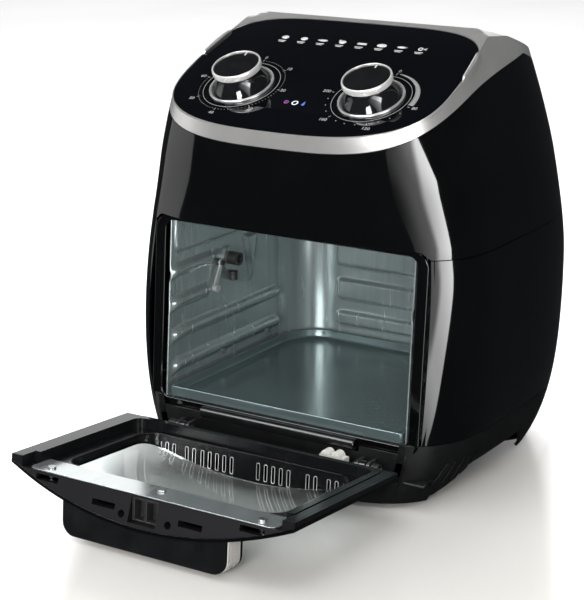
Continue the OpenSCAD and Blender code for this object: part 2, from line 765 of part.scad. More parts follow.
module door_arms() {
    color("#1c1c1f") door_open() both_sides() difference() {
        union() {
            on_hinge(arm_x - arm_t / 2) cylinder(r = 5.4, h = arm_t);
            translate([arm_x - arm_t / 2, hinge_y - 5, hinge_z]) cube([arm_t, 6, 22.5]);
        }
        on_hinge(arm_x - 20) cylinder(r = pin_r + run_gap, h = 40);
    }
}
handle_v = 141;
handle_h = 17;
handle_out = 55.5;
// handle seen along its height: a flat bar with rounded outer corners
module bar_outline(grow) {
    h = handle_w / 2 + grow;
    polygon(concat([[h, -20], [-h, -20]], corner(-h + 11, -handle_out - grow + 11, 11, 180),
        corner(h - 11, -handle_out - grow + 11, 11, 270)));
}
module handle_grip() {
    color("#121214") door_open() on_jamb() difference() {
        union() {
            translate([0, 0, handle_v - 3]) linear_extrude(handle_h + 6) bar_outline(-2.2);
            translate([0, 0, handle_v + handle_h + 0.2]) linear_extrude(3) bar_outline(-0.4);
            translate([0, 0, handle_v - 3.2]) linear_extrude(3) bar_outline(-0.4);
        }
        skin_cylinder(skin_r + 0.15);
        // finger hollow, open towards the hinge
        translate([-58, -51.5, handle_v - 10]) cube([116, 25, 20]);
    }
}
module handle_band() {
    color("#c9c8c4") door_open() on_jamb() difference() {
        translate([0, 0, handle_v]) linear_extrude(handle_h) bar_outline(0);
        translate([0, 0, handle_v - 10]) linear_extrude(60) bar_outline(-2);
        skin_cylinder(skin_r + 0.15);
    }
}

place() upper_housing();
place() lower_housing();
place() rear_cover();
place() base_tray();
place() rubber_feet();
place() base_screws();
place() top_cap();
place() control_panel();
place() indicator_lenses();
place() indicator_board();
place() timer_bezel();
place() timer_knob();
place() timer_knob_ring();
place() timer_knob_cap();
place() timer_shaft();
place() timer_unit();
place() thermostat_bezel();
place() thermostat_knob();
place() thermostat_knob_ring();
place() thermostat_knob_cap();
place() thermostat_shaft();
place() thermostat_unit();
place() thermostat_probe();
place() jamb_frame();
place() cavity_liner();
place() cavity_ceiling();
place() drip_tray();
place() wall_screws();
place() heating_element();
place() element_guard();
place() fan_shroud();
place() convection_fan();
place() cooling_fan();
place() motor_shaft();
place() fan_motor();
place() motor_bracket();
place() rotisserie_motor();
place() socket_boss();
place() drive_socket();
place() release_lever();
place() lever_spring();
place() spit_bearing();
place() hinge_brackets();
place() hinge_pins();
place() hinge_spring();
place() nylon_bumper();
place() door_switch();
place() switch_plunger();
place() door_catch();
place() cord_gland();
place() door_frame();
place() door_skin();
place() door_glass();
place() door_plate();
place() door_screws();
place() door_latch();
place() door_arms();
place() handle_grip();
place() handle_band();
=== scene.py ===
import math

import bmesh
import bpy
from mathutils import Matrix, Vector


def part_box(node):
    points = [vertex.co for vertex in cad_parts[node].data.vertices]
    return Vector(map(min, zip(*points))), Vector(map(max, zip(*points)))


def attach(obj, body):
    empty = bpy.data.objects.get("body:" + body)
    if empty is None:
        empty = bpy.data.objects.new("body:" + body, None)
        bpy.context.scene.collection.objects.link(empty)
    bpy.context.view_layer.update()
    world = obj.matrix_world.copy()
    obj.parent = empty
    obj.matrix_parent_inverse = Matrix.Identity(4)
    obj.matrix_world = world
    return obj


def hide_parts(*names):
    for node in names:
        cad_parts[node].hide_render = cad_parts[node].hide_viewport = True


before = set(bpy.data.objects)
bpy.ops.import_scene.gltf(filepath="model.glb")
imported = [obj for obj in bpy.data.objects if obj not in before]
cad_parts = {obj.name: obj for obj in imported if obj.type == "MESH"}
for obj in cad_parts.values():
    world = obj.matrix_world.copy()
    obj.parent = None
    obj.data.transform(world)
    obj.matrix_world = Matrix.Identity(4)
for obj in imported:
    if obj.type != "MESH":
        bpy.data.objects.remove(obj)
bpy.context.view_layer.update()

# Looks of a countertop rotisserie oven. Sizes are in millimetres and repeat the driving dimensions of
# the CAD part; each piece is drawn in one of the part's own frames (BODY, PANEL, JAMB, DOOR) and
# turned into metres there.
MM = 0.001

# ---- body: its outline at any height is a superellipse, fuller at the rear ----
HALF_MAX = 166.0
CREST_Z = 376.0
BASE_SEAM = 57.0
SHELL_SEAM = 209.6
WALL = 2.4
REAR_MAX = 289.5
GAP = 0.3
MID_Y = 93.5
CURVE_FRONT = 3.6
CURVE_REAR = 3.8
WAIST_Z = 215.0
REAR_SLOPE = 0.30
SHOULDER_Z = 265.0
PANEL_HALF = 126.5
PANEL_MID = 20.0
PANEL_FRONT = 80.0
PANEL_REAR = 88.0
PANEL_CURVES = (2.8, 4.4)
FACET_X = 104.0
FACET_FALL = (0.364, 0.102)

# ---- opening and cavity ----
LIP_Z = 54.5
LEAN = math.radians(4.35)
OPENING_W = 246.3
OPENING_H = 156.8
CAVITY_W = 238.6
CAVITY_D = 222.5
CAVITY_R = 40.0
CEILING_Z = 258.5
FLOOR_Z = 52.2

# ---- control panel ----
TILT = math.radians(24.5)
DIAL_X = 62.7
DIAL_Y = 40.2
DIAL_Z = 329.0
KNOB_R = 21.2
CUP_R = 26.2

# ---- door, drawn closed against the opening ----
HINGE_Y = -12.0
HINGE_Z = 35.5
DOOR_HALF = 133.0
DOOR_BULGE = 4.5
DOOR_TOP = 158.0
SLOT_GROUPS = ((-92, 3), (-64, 2), (-48, 5), (8, 5), (56, 2), (76, 3))
SLOT_PITCH = 7.4
SLOT_WIDE = 2.4
PLATE_D = 10.0
WIN_V0 = 14.0
WIN_V1 = 131.0

TRAY_FRONT = 3.2
front_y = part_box("drip_tray")[0].y / MM - TRAY_FRONT
crest_y = DIAL_Y + (CREST_Z - DIAL_Z) / math.tan(TILT)


def shift(x, y, z):
    return Matrix.Translation((x, y, z))


def turn_x(angle):
    return Matrix.Rotation(angle, 4, "X")


BODY = Matrix.Scale(MM, 4) @ shift(0, front_y, 0)
PANEL = BODY @ shift(0, DIAL_Y, DIAL_Z) @ turn_x(TILT)
JAMB = BODY @ shift(0, 0, LIP_Z) @ turn_x(-LEAN)
SWING = shift(0, HINGE_Y, HINGE_Z) @ turn_x(math.radians(90)) @ shift(0, -HINGE_Y, -HINGE_Z)
DOOR = BODY @ SWING @ shift(0, 0, LIP_Z) @ turn_x(-LEAN)


# ==== materials ====
def node(tree, kind, **values):
    made = tree.nodes.new(kind)
    for key, value in values.items():
        setattr(made, key, value)
    return made


def put(made, socket, value):
    made.inputs[socket].default_value = value


def wire(source, target):
    source.id_data.links.new(source, target)


def surface(name, low, high, rough, grain, metal=0.0, stretch=(1, 1, 1), bump=(0, 0), coat=0.0,
            fine="NOISE", ior=1.5):
    """A principled finish whose colour and roughness drift between two values over a noise field.
    grain is the field's scale per metre; bump is (scale per metre, height in metres)."""
    made = bpy.data.materials.new(name)
    made.use_nodes = True
    tree = made.node_tree
    shade = tree.nodes["Principled BSDF"]
    put(shade, "Metallic", metal)
    put(shade, "IOR", ior)
    put(shade, "Coat Weight", coat)
    put(shade, "Coat Roughness", 0.04)
    place = node(tree, "ShaderNodeTexCoord")
    spread = node(tree, "ShaderNodeMapping")
    put(spread, "Scale", stretch)
    wire(place.outputs["Object"], spread.inputs["Vector"])
    field = node(tree, "ShaderNodeTexNoise")
    put(field, "Scale", grain)
    put(field, "Detail", 6.0)
    put(field, "Roughness", 0.6)
    wire(spread.outputs["Vector"], field.inputs["Vector"])
    ramp = node(tree, "ShaderNodeValToRGB")
    ramp.color_ramp.elements[0].position = 0.32
    ramp.color_ramp.elements[0].color = (*low, 1)
    ramp.color_ramp.elements[1].position = 0.68
    ramp.color_ramp.elements[1].color = (*high, 1)
    wire(field.outputs["Fac"], ramp.inputs["Fac"])
    wire(ramp.outputs["Color"], shade.inputs["Base Color"])
    polish = node(tree, "ShaderNodeMapRange")
    put(polish, "From Min", 0.3)
    put(polish, "From Max", 0.7)
    put(polish, "To Min", rough[0])
    put(polish, "To Max", rough[1])
    wire(field.outputs["Fac"], polish.inputs["Value"])
    wire(polish.outputs["Result"], shade.inputs["Roughness"])
    if bump[1]:
        if fine == "VORONOI":
            relief = node(tree, "ShaderNodeTexVoronoi", feature="SMOOTH_F1")
            height = relief.outputs["Distance"]
        else:
            relief = node(tree, "ShaderNodeTexNoise")
            put(relief, "Detail", 3.0)
            height = relief.outputs["Fac"]
        put(relief, "Scale", bump[0])
        wire(spread.outputs["Vector"], relief.inputs["Vector"])
        raised = node(tree, "ShaderNodeBump")
        put(raised, "Strength", 1.0)
        put(raised, "Distance", bump[1])
        wire(height, raised.inputs["Height"])
        wire(raised.outputs["Normal"], shade.inputs["Normal"])
    return made


def grey(value, tint=0.0):
    return (value, value * (1 + tint * 0.5), value * (1 + tint))


def glow(made, color, strength):
    shade = made.node_tree.nodes["Principled BSDF"]
    put(shade, "Emission Color", (*color, 1))
    put(shade, "Emission Strength", strength)
    return made


def clear(made, amount=1.0):
    shade = made.node_tree.nodes["Principled BSDF"]
    put(shade, "Transmission Weight", amount)
    return made


GLOSS = surface("gloss_black_plastic", grey(0.0012, 0.2), grey(0.002, 0.2), (0.05, 0.075), 18,
                bump=(60, 0.000004), coat=0.35)
MATTE = surface("matte_black_plastic", grey(0.0035, 0.1), grey(0.006, 0.1), (0.34, 0.44), 60,
                bump=(2600, 0.00003), fine="VORONOI", ior=1.4)
SATIN_BLACK = surface("satin_black_plastic", grey(0.004, 0.15), grey(0.007, 0.15), (0.2, 0.27), 45,
                      bump=(1500, 0.000004))
SATIN_DOOR = surface("satin_door_frame", grey(0.004, 0.15), grey(0.007, 0.15), (0.14, 0.2), 45,
                     bump=(1500, 0.000003), ior=1.3)
RUBBER = surface("foot_rubber", grey(0.02), grey(0.035), (0.7, 0.85), 90, bump=(1800, 0.00006))
SILVER = surface("satin_silver_lacquer", grey(0.70, -0.03), grey(0.75, -0.03), (0.30, 0.36), 30,
                 metal=0.8, bump=(4200, 0.000003), coat=0.15)
KNOB_SILVER = surface("knob_silver", grey(0.68, -0.03), grey(0.74, -0.03), (0.22, 0.28), 120,
                      metal=0.45, bump=(3000, 0.000001))
CHROME = surface("bright_chrome", grey(0.62), grey(0.70), (0.14, 0.22), 90, metal=0.7,
                 bump=(900, 0.000001))
PANEL_GLASS = surface("panel_glass_black", (0.0012, 0.0014, 0.0025), (0.0016, 0.0018, 0.003), (0.03, 0.05),
                      25, coat=0.5)
KNOB_BLACK = surface("knob_gloss_black", grey(0.005, 0.2), grey(0.008, 0.2), (0.06, 0.1), 80,
                     bump=(400, 0.000002), coat=0.5)
PRINT = surface("panel_print", grey(0.30), grey(0.40), (0.45, 0.55), 400, bump=(5000, 0.000004))
PRINT_BRIGHT = surface("panel_print_bright", grey(0.50), grey(0.62), (0.45, 0.55), 400,
                       bump=(5000, 0.000004))
PRINT_WEDGE = surface("panel_print_wedge", grey(0.20), grey(0.26), (0.45, 0.55), 400, bump=(5000, 0.000004))
ZINC = surface("zinc_plate", grey(0.50, 0.02), grey(0.66, 0.04), (0.22, 0.38), 260, metal=1.0,
               bump=(1400, 0.000015))
DARK_STEEL = surface("black_zinc_steel", grey(0.04), grey(0.07), (0.3, 0.42), 200, metal=0.7,
                     bump=(1600, 0.00001))
CAVITY = surface("aluminised_steel", (0.36, 0.42, 0.42), (0.44, 0.50, 0.50), (0.2, 0.28), 60, metal=0.72,
                 stretch=(3, 3, 0.25), bump=(500, 0.000003))
TRAY = surface("tray_coating", (0.13, 0.175, 0.18), (0.16, 0.21, 0.215), (0.18, 0.25), 14, metal=0.6,
               bump=(1800, 0.000003))
PLATE = surface("stamped_plate_steel", (0.56, 0.60, 0.61), (0.64, 0.67, 0.68), (0.16, 0.22), 24,
                metal=0.85, stretch=(6, 1, 1), bump=(900, 0.000003))
ELEMENT = surface("oxidised_sheath", (0.07, 0.065, 0.06), (0.15, 0.14, 0.13), (0.4, 0.6), 160, metal=0.8,
                  bump=(1200, 0.00003))
ALUMINIUM = surface("stamped_aluminium", grey(0.66), grey(0.76), (0.25, 0.38), 120, metal=1.0,
                    bump=(1000, 0.00001))
MOTOR = surface("motor_steel", grey(0.22), grey(0.32), (0.3, 0.45), 110, metal=0.85, bump=(900, 0.00002))
BRASS = surface("drawn_brass", (0.50, 0.37, 0.16), (0.62, 0.47, 0.22), (0.25, 0.4), 150, metal=1.0,
                bump=(1300, 0.00001))
COPPER = surface("drawn_copper", (0.52, 0.25, 0.14), (0.66, 0.34, 0.2), (0.25, 0.4), 150, metal=1.0,
                 bump=(1300, 0.00001))
CERAMIC = surface("glazed_ceramic", (0.66, 0.62, 0.52), (0.74, 0.70, 0.62), (0.3, 0.45), 80,
                  bump=(1500, 0.00002))
NYLON = surface("natural_nylon", (0.72, 0.71, 0.67), (0.8, 0.79, 0.75), (0.35, 0.45), 120,
                bump=(1500, 0.00001))
BOARD = surface("circuit_board", (0.015, 0.10, 0.035), (0.025, 0.16, 0.06), (0.3, 0.45), 700,
                bump=(2500, 0.00002))
LENS = clear(surface("clear_lens", grey(0.7, 0.1), grey(0.8, 0.1), (0.05, 0.12), 100), 0.9)
BRUSHED = surface("brushed_band", (0.66, 0.63, 0.61), (0.74, 0.71, 0.69), (0.24, 0.3), 220, metal=0.35,
                  stretch=(1, 1, 0.05), bump=(2400, 0.0000005))
DOOR_GLASS = clear(surface("tempered_glass", (0.80, 0.86, 0.86), (0.84, 0.9, 0.9), (0.01, 0.03), 12), 1.0)


def share(tree, axis, start, stop, turn=0.0, moved=0.0, both_ways=False):
    """A number that climbs from 0 to 1 between two places along one axis of the object. The axes may be
    turned about z and moved first, and both_ways lets it climb to either side of the middle."""
    place = node(tree, "ShaderNodeTexCoord")
    turned = node(tree, "ShaderNodeMapping")
    put(turned, "Location", (moved, 0, 0))
    put(turned, "Rotation", (0, 0, math.radians(turn)))
    split = node(tree, "ShaderNodeSeparateXYZ")
    climb = node(tree, "ShaderNodeMapRange", interpolation_type="SMOOTHSTEP")
    put(climb, "From Min", start)
    put(climb, "From Max", stop)
    wire(place.outputs["Object"], turned.inputs["Vector"])
    wire(turned.outputs["Vector"], split.inputs["Vector"])
    along = split.outputs[axis]
    if both_ways:
        size = node(tree, "ShaderNodeMath", operation="ABSOLUTE")
        wire(along, size.inputs[0])
        along = size.outputs["Value"]
    wire(along, climb.inputs["Value"])
    return climb.outputs["Result"]


def blend(tree, factor, socket, value):
    """Mixes a fixed value into a socket, in step with factor."""
    colour = socket.type == "RGBA"
    mix = node(tree, "ShaderNodeMix", data_type="RGBA" if colour else "FLOAT")
    first, second = (mix.inputs[6], mix.inputs[7]) if colour else (mix.inputs[2], mix.inputs[3])
    if socket.links:
        wire(socket.links[0].from_socket, first)
    else:
        first.default_value = socket.default_value
    second.default_value = value
    wire(factor, mix.inputs[0])
    wire(mix.outputs[2 if colour else 0], socket)


END_DEPTH = 4.0


def free_end_finish(made):
    """Dull, slightly purple grain on the end face of the door, gloss on the rest."""
    tree = made.node_tree
    shade = tree.nodes["Principled BSDF"]
    face = (DOOR @ Vector((0, -PLATE_D, DOOR_TOP - END_DEPTH))).y
    end = share(tree, "Y", face, face - MM)
    blend(tree, end, shade.inputs["Base Color"], (0.0052, 0.0047, 0.0060, 1))
    blend(tree, end, shade.inputs["Roughness"], 0.46)
    return made


def plate_finish(made):
    """Bare steel along the free end, and a black coating round the window."""
    tree = made.node_tree
    shade = tree.nodes["Principled BSDF"]
    strip = (DOOR @ Vector((0, -PLATE_D, WIN_V1))).y
    coat = share(tree, "Y", strip + 0.8 * MM, strip + 1.2 * MM)
    blend(tree, coat, shade.inputs["Base Color"], (0.004, 0.004, 0.005, 1))
    blend(tree, coat, shade.inputs["Metallic"], 0.0)
    return made


free_end_finish(SATIN_DOOR)
plate_finish(PLATE)


# ==== mesh helpers ====
def loose(name, data):
    made = bpy.data.objects.new(name, data)
    bpy.context.scene.collection.objects.link(made)
    return made


def shade_smooth(mesh):
    mesh.polygons.foreach_set("use_smooth", [True] * len(mesh.polygons))
    return mesh


def evaluated_mesh(made):
    """The mesh that an object's curve or modifiers come to."""
    bpy.context.view_layer.update()
    ready = made.evaluated_get(bpy.context.evaluated_depsgraph_get())
    return bpy.data.meshes.new_from_object(ready)


def mesh_from_curve(curve):
    holder = loose(curve.name, curve)
    mesh = evaluated_mesh(holder)
    bpy.data.objects.remove(holder)
    return mesh


def to_object(name, mesh, material, body, replaced=()):
    made = loose(name, mesh)
    made.data.materials.clear()
    made.data.materials.append(material)
    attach(made, body)
    if replaced:
        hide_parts(*replaced)
    return made


def mesh_of(name, points, faces, place):
    """A mesh from points in millimetres, carried into metres by place."""
    mesh = bpy.data.meshes.new(name)
    mesh.from_pydata([place @ Vector(p) for p in points], [], faces)
    shade_smooth(mesh)
    mesh.update()
    return mesh


def sheet(name, rows, place=BODY, closed=False):
    """A grid of quads through rows of points; closed joins each row's end to its start."""
    wide = len(rows[0])
    points = [p for row in rows for p in row]
    last = wide if closed else wide - 1
    faces = []
    for k in range(len(rows) - 1):
        for i in range(last):
            j = (i + 1) % wide
            faces.append((k * wide + i, k * wide + j, (k + 1) * wide + j, (k + 1) * wide + i))
    return mesh_of(name, points, faces, place)


def clean(mesh, distance=0.00001):
    work = bmesh.new()
    work.from_mesh(mesh)
    bmesh.ops.remove_doubles(work, verts=work.verts, dist=distance)
    bmesh.ops.recalc_face_normals(work, faces=work.faces)
    work.to_mesh(mesh)
    work.free()
    return mesh


def thicken(made, thickness, inward=True, even=True):
    step = made.modifiers.new("thickness", "SOLIDIFY")
    step.thickness = thickness * MM
    step.offset = -1.0 if inward else 1.0
    step.use_even_offset = even
    step.use_quality_normals = even
    return made


def soften(made, width, segments=3, angle=32):
    """Rounds the edges that are sharper than angle, and keeps flat faces flat in the shading."""
    step = made.modifiers.new("edges", "BEVEL")
    step.width = width * MM
    step.segments = segments
    step.limit_method = "ANGLE"
    step.angle_limit = math.radians(angle)
    step.use_clamp_overlap = True
    step.harden_normals = False
    even = made.modifiers.new("shading", "WEIGHTED_NORMAL")
    even.keep_sharp = True
    even.weight = 80
    return made


def cut(made, tool, operation="DIFFERENCE"):
    """Takes the tool's mesh out of an object, or keeps only what lies in it, and applies the result."""
    cutter = loose("tool", tool)
    step = made.modifiers.new("cut", "BOOLEAN")
    step.operation = operation
    step.solver = "EXACT"
    step.object = cutter
    bake(made)
    bpy.data.objects.remove(cutter)
    return made


def bake(made):
    """Applies every modifier of an object to its mesh."""
    mesh = evaluated_mesh(made)
    made.modifiers.clear()
    made.data = mesh
    return made


def plate_mesh(name, loops, low, high, edge, place, round_steps=2):
    """A flat plate with holes: closed outlines in x and y, from low to high along z, with round edges."""
    curve = bpy.data.curves.new(name, "CURVE")
    curve.dimensions = "2D"
    curve.fill_mode = "BOTH"
    curve.extrude = (high - low) / 2 - edge
    curve.bevel_depth = edge
    curve.bevel_resolution = round_steps
    curve.offset = -edge
    for loop in loops:
        spline = curve.splines.new("POLY")
        spline.points.add(len(loop) - 1)
        for spot, (x, y) in zip(spline.points, loop):
            spot.co = (x, y, 0, 1)
        spline.use_cyclic_u = True
    mesh = mesh_from_curve(curve)
    mesh.transform(place @ shift(0, 0, (low + high) / 2))
    mesh.name = name
    return clean(shade_smooth(mesh), 0.000002)


def lathe(name, profile, place, steps=128):
    """A turned part round the z axis of place: profile is (radius, height) pairs."""
    rows = []
    for r, z in profile:
        rows.append([(r * math.cos(a), r * math.sin(a), z)
                     for a in (2 * math.pi * i / steps for i in range(steps))])
    mesh = sheet(name, rows, place, closed=True)
    return clean(mesh, 0.000002)


def block(name, low, high, place):
    """A box between two corners, as a mesh to cut with or to build from."""
    (x0, y0, z0), (x1, y1, z1) = low, high
    points = [(x, y, z) for x in (x0, x1) for y in (y0, y1) for z in (z0, z1)]
    faces = [(0, 1, 3, 2), (4, 6, 7, 5), (0, 4, 5, 1), (2, 3, 7, 6), (0, 2, 6, 4), (1, 5, 7, 3)]
    return clean(mesh_of(name, points, faces, place))


def joined(name, meshes):
    work = bmesh.new()
    for mesh in meshes:
        work.from_mesh(mesh)
    made = bpy.data.meshes.new(name)
    work.to_mesh(made)
    work.free()
    return shade_smooth(made)


def refined(name, node_name, material, body, width):
    """A copy of a CAD node with its flat faces merged and its edges rounded."""
    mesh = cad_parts[node_name].data.copy()
    mesh.name = name
    work = bmesh.new()
    work.from_mesh(mesh)
    bmesh.ops.remove_doubles(work, verts=work.verts, dist=0.00001)
    bmesh.ops.dissolve_limit(work, angle_limit=math.radians(1.2), verts=work.verts, edges=work.edges)
    bmesh.ops.recalc_face_normals(work, faces=work.faces)
    work.to_mesh(mesh)
    work.free()
    if "custom_normal" in mesh.attributes:
        mesh.attributes.remove(mesh.attributes["custom_normal"])
    made = to_object(name, shade_smooth(mesh), material, body, [node_name])
    return soften(made, width, 2)


# ==== outlines ====
def arc(cx, cy, r, start, sweep, steps):
    turn = [math.radians(start + sweep * k / steps) for k in range(steps + 1)]
    return [(cx + r * math.cos(a), cy + r * math.sin(a)) for a in turn]


def circle(cx, cy, r, steps=96):
    return arc(cx, cy, r, 0, 360, steps)[:-1]


def round_rect(x0, x1, y0, y1, r, steps=12):
    return (arc(x1 - r, y1 - r, r, 0, 90, steps) + arc(x0 + r, y1 - r, r, 90, 90, steps)
            + arc(x0 + r, y0 + r, r, 180, 90, steps) + arc(x1 - r, y0 + r, r, 270, 90, steps))


def ellipse(cx, cy, rx, ry, steps=36):
    return [(cx + rx * x, cy + ry * y) for x, y in circle(0, 0, 1, steps)]


def superellipse(t, n_front, n_rear):
    c, s = math.cos(t), math.sin(t)
    n = n_front if s < 0 else n_rear
    r = (abs(c) ** n + abs(s) ** n) ** (-1 / n)
    return r * c, r * s


def half_w(z):
    d = z - 187.0
    top = 0.012 * max(z - SHOULDER_Z, 0) ** 1.4
    return HALF_MAX - 0.105 * (math.hypot(d, 25.0) + d) - 27.5 * (max(-d, 0) / 187.0) ** 4.5 - top


def front_at(z):
    return -18 + 13 * math.exp(-((z - WAIST_Z) / 68) ** 2)


def rear_at(z):
    return REAR_MAX - (50 if z > WAIST_Z else 28) * ((z - WAIST_Z) / WAIST_Z) ** 2


def body_pt(t, z, inset=0.0):
    """A point of the body's outer form at polar angle t (0 is the right side, 90 the rear)."""
    u, v = superellipse(t, CURVE_FRONT - max(0, z - WAIST_Z) / 164, CURVE_REAR)
    deep = MID_Y - front_at(z) if v < 0 else rear_at(z) - MID_Y
    return ((half_w(z) - inset) * u, MID_Y + (deep - inset) * v, z)


def roof_z(y):
    if y < crest_y:
        return DIAL_Z + (y - DIAL_Y) * math.tan(TILT)
    return CREST_Z - (y - crest_y) * REAR_SLOPE


def top_z(x, y):
    """The roof, with the shallow facets that let the crest fall away towards each side."""
    facet = CREST_Z - FACET_FALL[0] * (abs(x) - FACET_X) - FACET_FALL[1] * (y - crest_y)
    return min(roof_z(y), facet)


def cap_low(y):
    return min(291.4 + 68 * (1 - math.exp(-(y + 13) / 105)), roof_z(y) - 9)


def on_body(t, height_at, start):
    """The point of the body's form at angle t whose height is height_at(its x, its y)."""
    z = start
    for _ in range(25):
        z = 0.5 * z + 0.5 * height_at(*body_pt(t, z)[:2])
    return body_pt(t, z)


def barrel(v):
    """Half width of the door's outline at height v of the opening's plane."""
    u = (v - 78) / 86
    return DOOR_HALF + DOOR_BULGE * (1 - u * u)


def jamb_y(z):
    """Depth of the opening's plane at height z."""
    return (z - LIP_Z) * math.tan(LEAN)


COLUMNS = 320
ROUND = [2 * math.pi * i / COLUMNS for i in range(COLUMNS)]


# ==== housing ====
RECESS_TOP = 216.5
RECESS_R = 12.0
RECESS_HALF = 134.2


def housing_foot(x):
    """Lowest height of the upper housing at x, where the door's recess rises into it."""
    x = abs(x)
    across = x - (RECESS_HALF - RECESS_R)
    if across < 0:
        return RECESS_TOP
    drop = RECESS_R ** 2 - min(across, RECESS_R) ** 2
    return max(RECESS_TOP - RECESS_R + math.sqrt(drop), SHELL_SEAM + GAP)


def upper_housing():
    rows = [[] for _ in range(26)]
    for t in ROUND:
        foot = SHELL_SEAM + GAP
        if math.sin(t) < 0:
            for _ in range(6):
                foot = housing_foot(body_pt(t, foot)[0])
        head = on_body(t, lambda x, y: cap_low(y) - GAP, 300)[2]
        low = body_pt(t, foot)
        in_recess = foot > SHELL_SEAM + GAP + 0.01
        back = (low[0], jamb_y(foot) + 3, foot + 0.5) if in_recess else low
        rows[0].append(back)
        for k in range(25):
            rows[k + 1].append(body_pt(t, foot + (head - foot) * k / 24))
    mesh = clean(sheet("upper_housing_shell", rows, closed=True))
    made = to_object("upper_housing_shell", mesh, GLOSS, "housing", ["upper_housing"])
    thicken(made, WALL)
    return soften(made, 0.7)


def last_angle(low, high, holds):
    """Halves a range of polar angles, in degrees, down to the angle at which holds(angle) ends."""
    low, high = math.radians(low), math.radians(high)
    for _ in range(30):
        middle = (low + high) / 2
        if holds(middle):
            low = middle
        else:
            high = middle
    return low


def recess_angle(z):
    """Polar angle at which the body's front corner meets the door's recess."""
    edge = barrel((z - LIP_Z) / math.cos(LEAN)) + GAP
    return last_angle(-80, -5, lambda a: body_pt(a, z)[0] < edge)


REAR_WIN = (-92, 92, 72, 196)
REAR_WIN_R = 10
COVER_INSET = 0.4


def through_rear(loops):
    """A tool that runs through the rear wall along y."""
    return plate_mesh("tool", loops, 0, 230, 0, BODY @ shift(0, 430, 0) @ turn_x(math.pi / 2))


def lower_housing():
    rows = []
    steps = 30
    for k in range(steps + 1):
        z = BASE_SEAM + GAP + (SHELL_SEAM - GAP - BASE_SEAM - GAP) * k / steps
        start = recess_angle(z)
        span = math.pi - 2 * start
        skin = [body_pt(start + span * i / COLUMNS, z) for i in range(COLUMNS + 1)]
        inner = jamb_y(z) + 3
        rows.append([(skin[0][0], inner, z)] + skin + [(skin[-1][0], inner, z)])
    mesh = clean(sheet("lower_housing_shell", rows))
    made = to_object("lower_housing_shell", mesh, GLOSS, "housing", ["lower_housing"])
    thicken(made, WALL)
    x0, x1, z0, z1 = REAR_WIN
    cut(made, through_rear([round_rect(x0 - GAP, x1 + GAP, z0 - GAP, z1 + GAP, REAR_WIN_R)]))
    return soften(made, 0.7)


def rear_cover():
    x0, x1, z0, z1 = REAR_WIN
    over, steps_x, steps_z = 2, 40, 32
    rows = []
    for k in range(steps_z + 1):
        z = z0 - over + (z1 - z0 + 2 * over) * k / steps_z
        row = []
        for i in range(steps_x + 1):
            x = x0 - over + (x1 - x0 + 2 * over) * i / steps_x
            angle = last_angle(40, 140, lambda a: body_pt(a, z, COVER_INSET)[0] > x)
            row.append(body_pt(angle, z, COVER_INSET))
        rows.append(row)
    mesh = sheet("rear_cover_plate", rows)
    made = to_object("rear_cover_plate", mesh, MATTE, "housing", ["rear_cover"])
    thicken(made, WALL, inward=False)
    bake(made)
    cut(made, through_rear([round_rect(x0, x1, z0, z1, REAR_WIN_R)]), "INTERSECT")
    slots = [round_rect(-74 + i * 12, -70 + i * 12, 90 + row * 52, 130 + row * 52, 1.9, 4)
             for row in range(2) for i in range(13)]
    cut(made, through_rear(slots))
    return soften(made, 0.4, 2)


def top_cap():
    """Silver trim: a band round the body, a sloped rim round the panel and a roof behind the crest."""
    side_steps, deck_steps, inner_steps = 8, 12, 4
    sink = 3.0
    rows = [[] for _ in range(side_steps + deck_steps + inner_steps + 2)]
    for t in ROUND:
        low = on_body(t, lambda x, y: cap_low(y), 300)
        rim = on_body(t, top_z, 329)
        for k in range(side_steps + 1):
            rows[k].append(body_pt(t, low[2] + (rim[2] - low[2]) * k / side_steps))
        x, v = rim[0], (rim[1] - DIAL_Y) / math.cos(TILT)
        deep = PANEL_FRONT if v < PANEL_MID else PANEL_REAR
        ux, uv = superellipse(math.atan2((v - PANEL_MID) / deep, x / PANEL_HALF), *PANEL_CURVES)
        qx, qv = (PANEL_HALF + GAP) * ux, PANEL_MID + (deep + GAP) * uv
        qy = DIAL_Y + qv * math.cos(TILT)
        crease = 0.03
        if rim[1] > crest_y:
            crease = max(crease, (rim[1] - crest_y) / (rim[1] - qy))
        shares = [crease * k / deck_steps for k in range(1, deck_steps + 1)]
        shares += [crease + (1 - crease) * k / inner_steps for k in range(1, inner_steps + 1)]
        for k, s in enumerate(shares):
            y = rim[1] + (qy - rim[1]) * s
            x = rim[0] + (qx - rim[0]) * s
            rows[side_steps + 1 + k].append((x, y, top_z(x, y)))
        end = rows[side_steps + deck_steps + inner_steps][-1]
        rows[-1].append((end[0], end[1] + sink * math.sin(TILT), end[2] - sink * math.cos(TILT)))
    mesh = clean(sheet("silver_trim", rows, closed=True))
    made = to_object("silver_trim", mesh, SILVER, "housing", ["top_cap"])
    thicken(made, 1.5, even=False)
    return soften(made, 1.1, 4, 28)


NOSE_HALF = 77.0


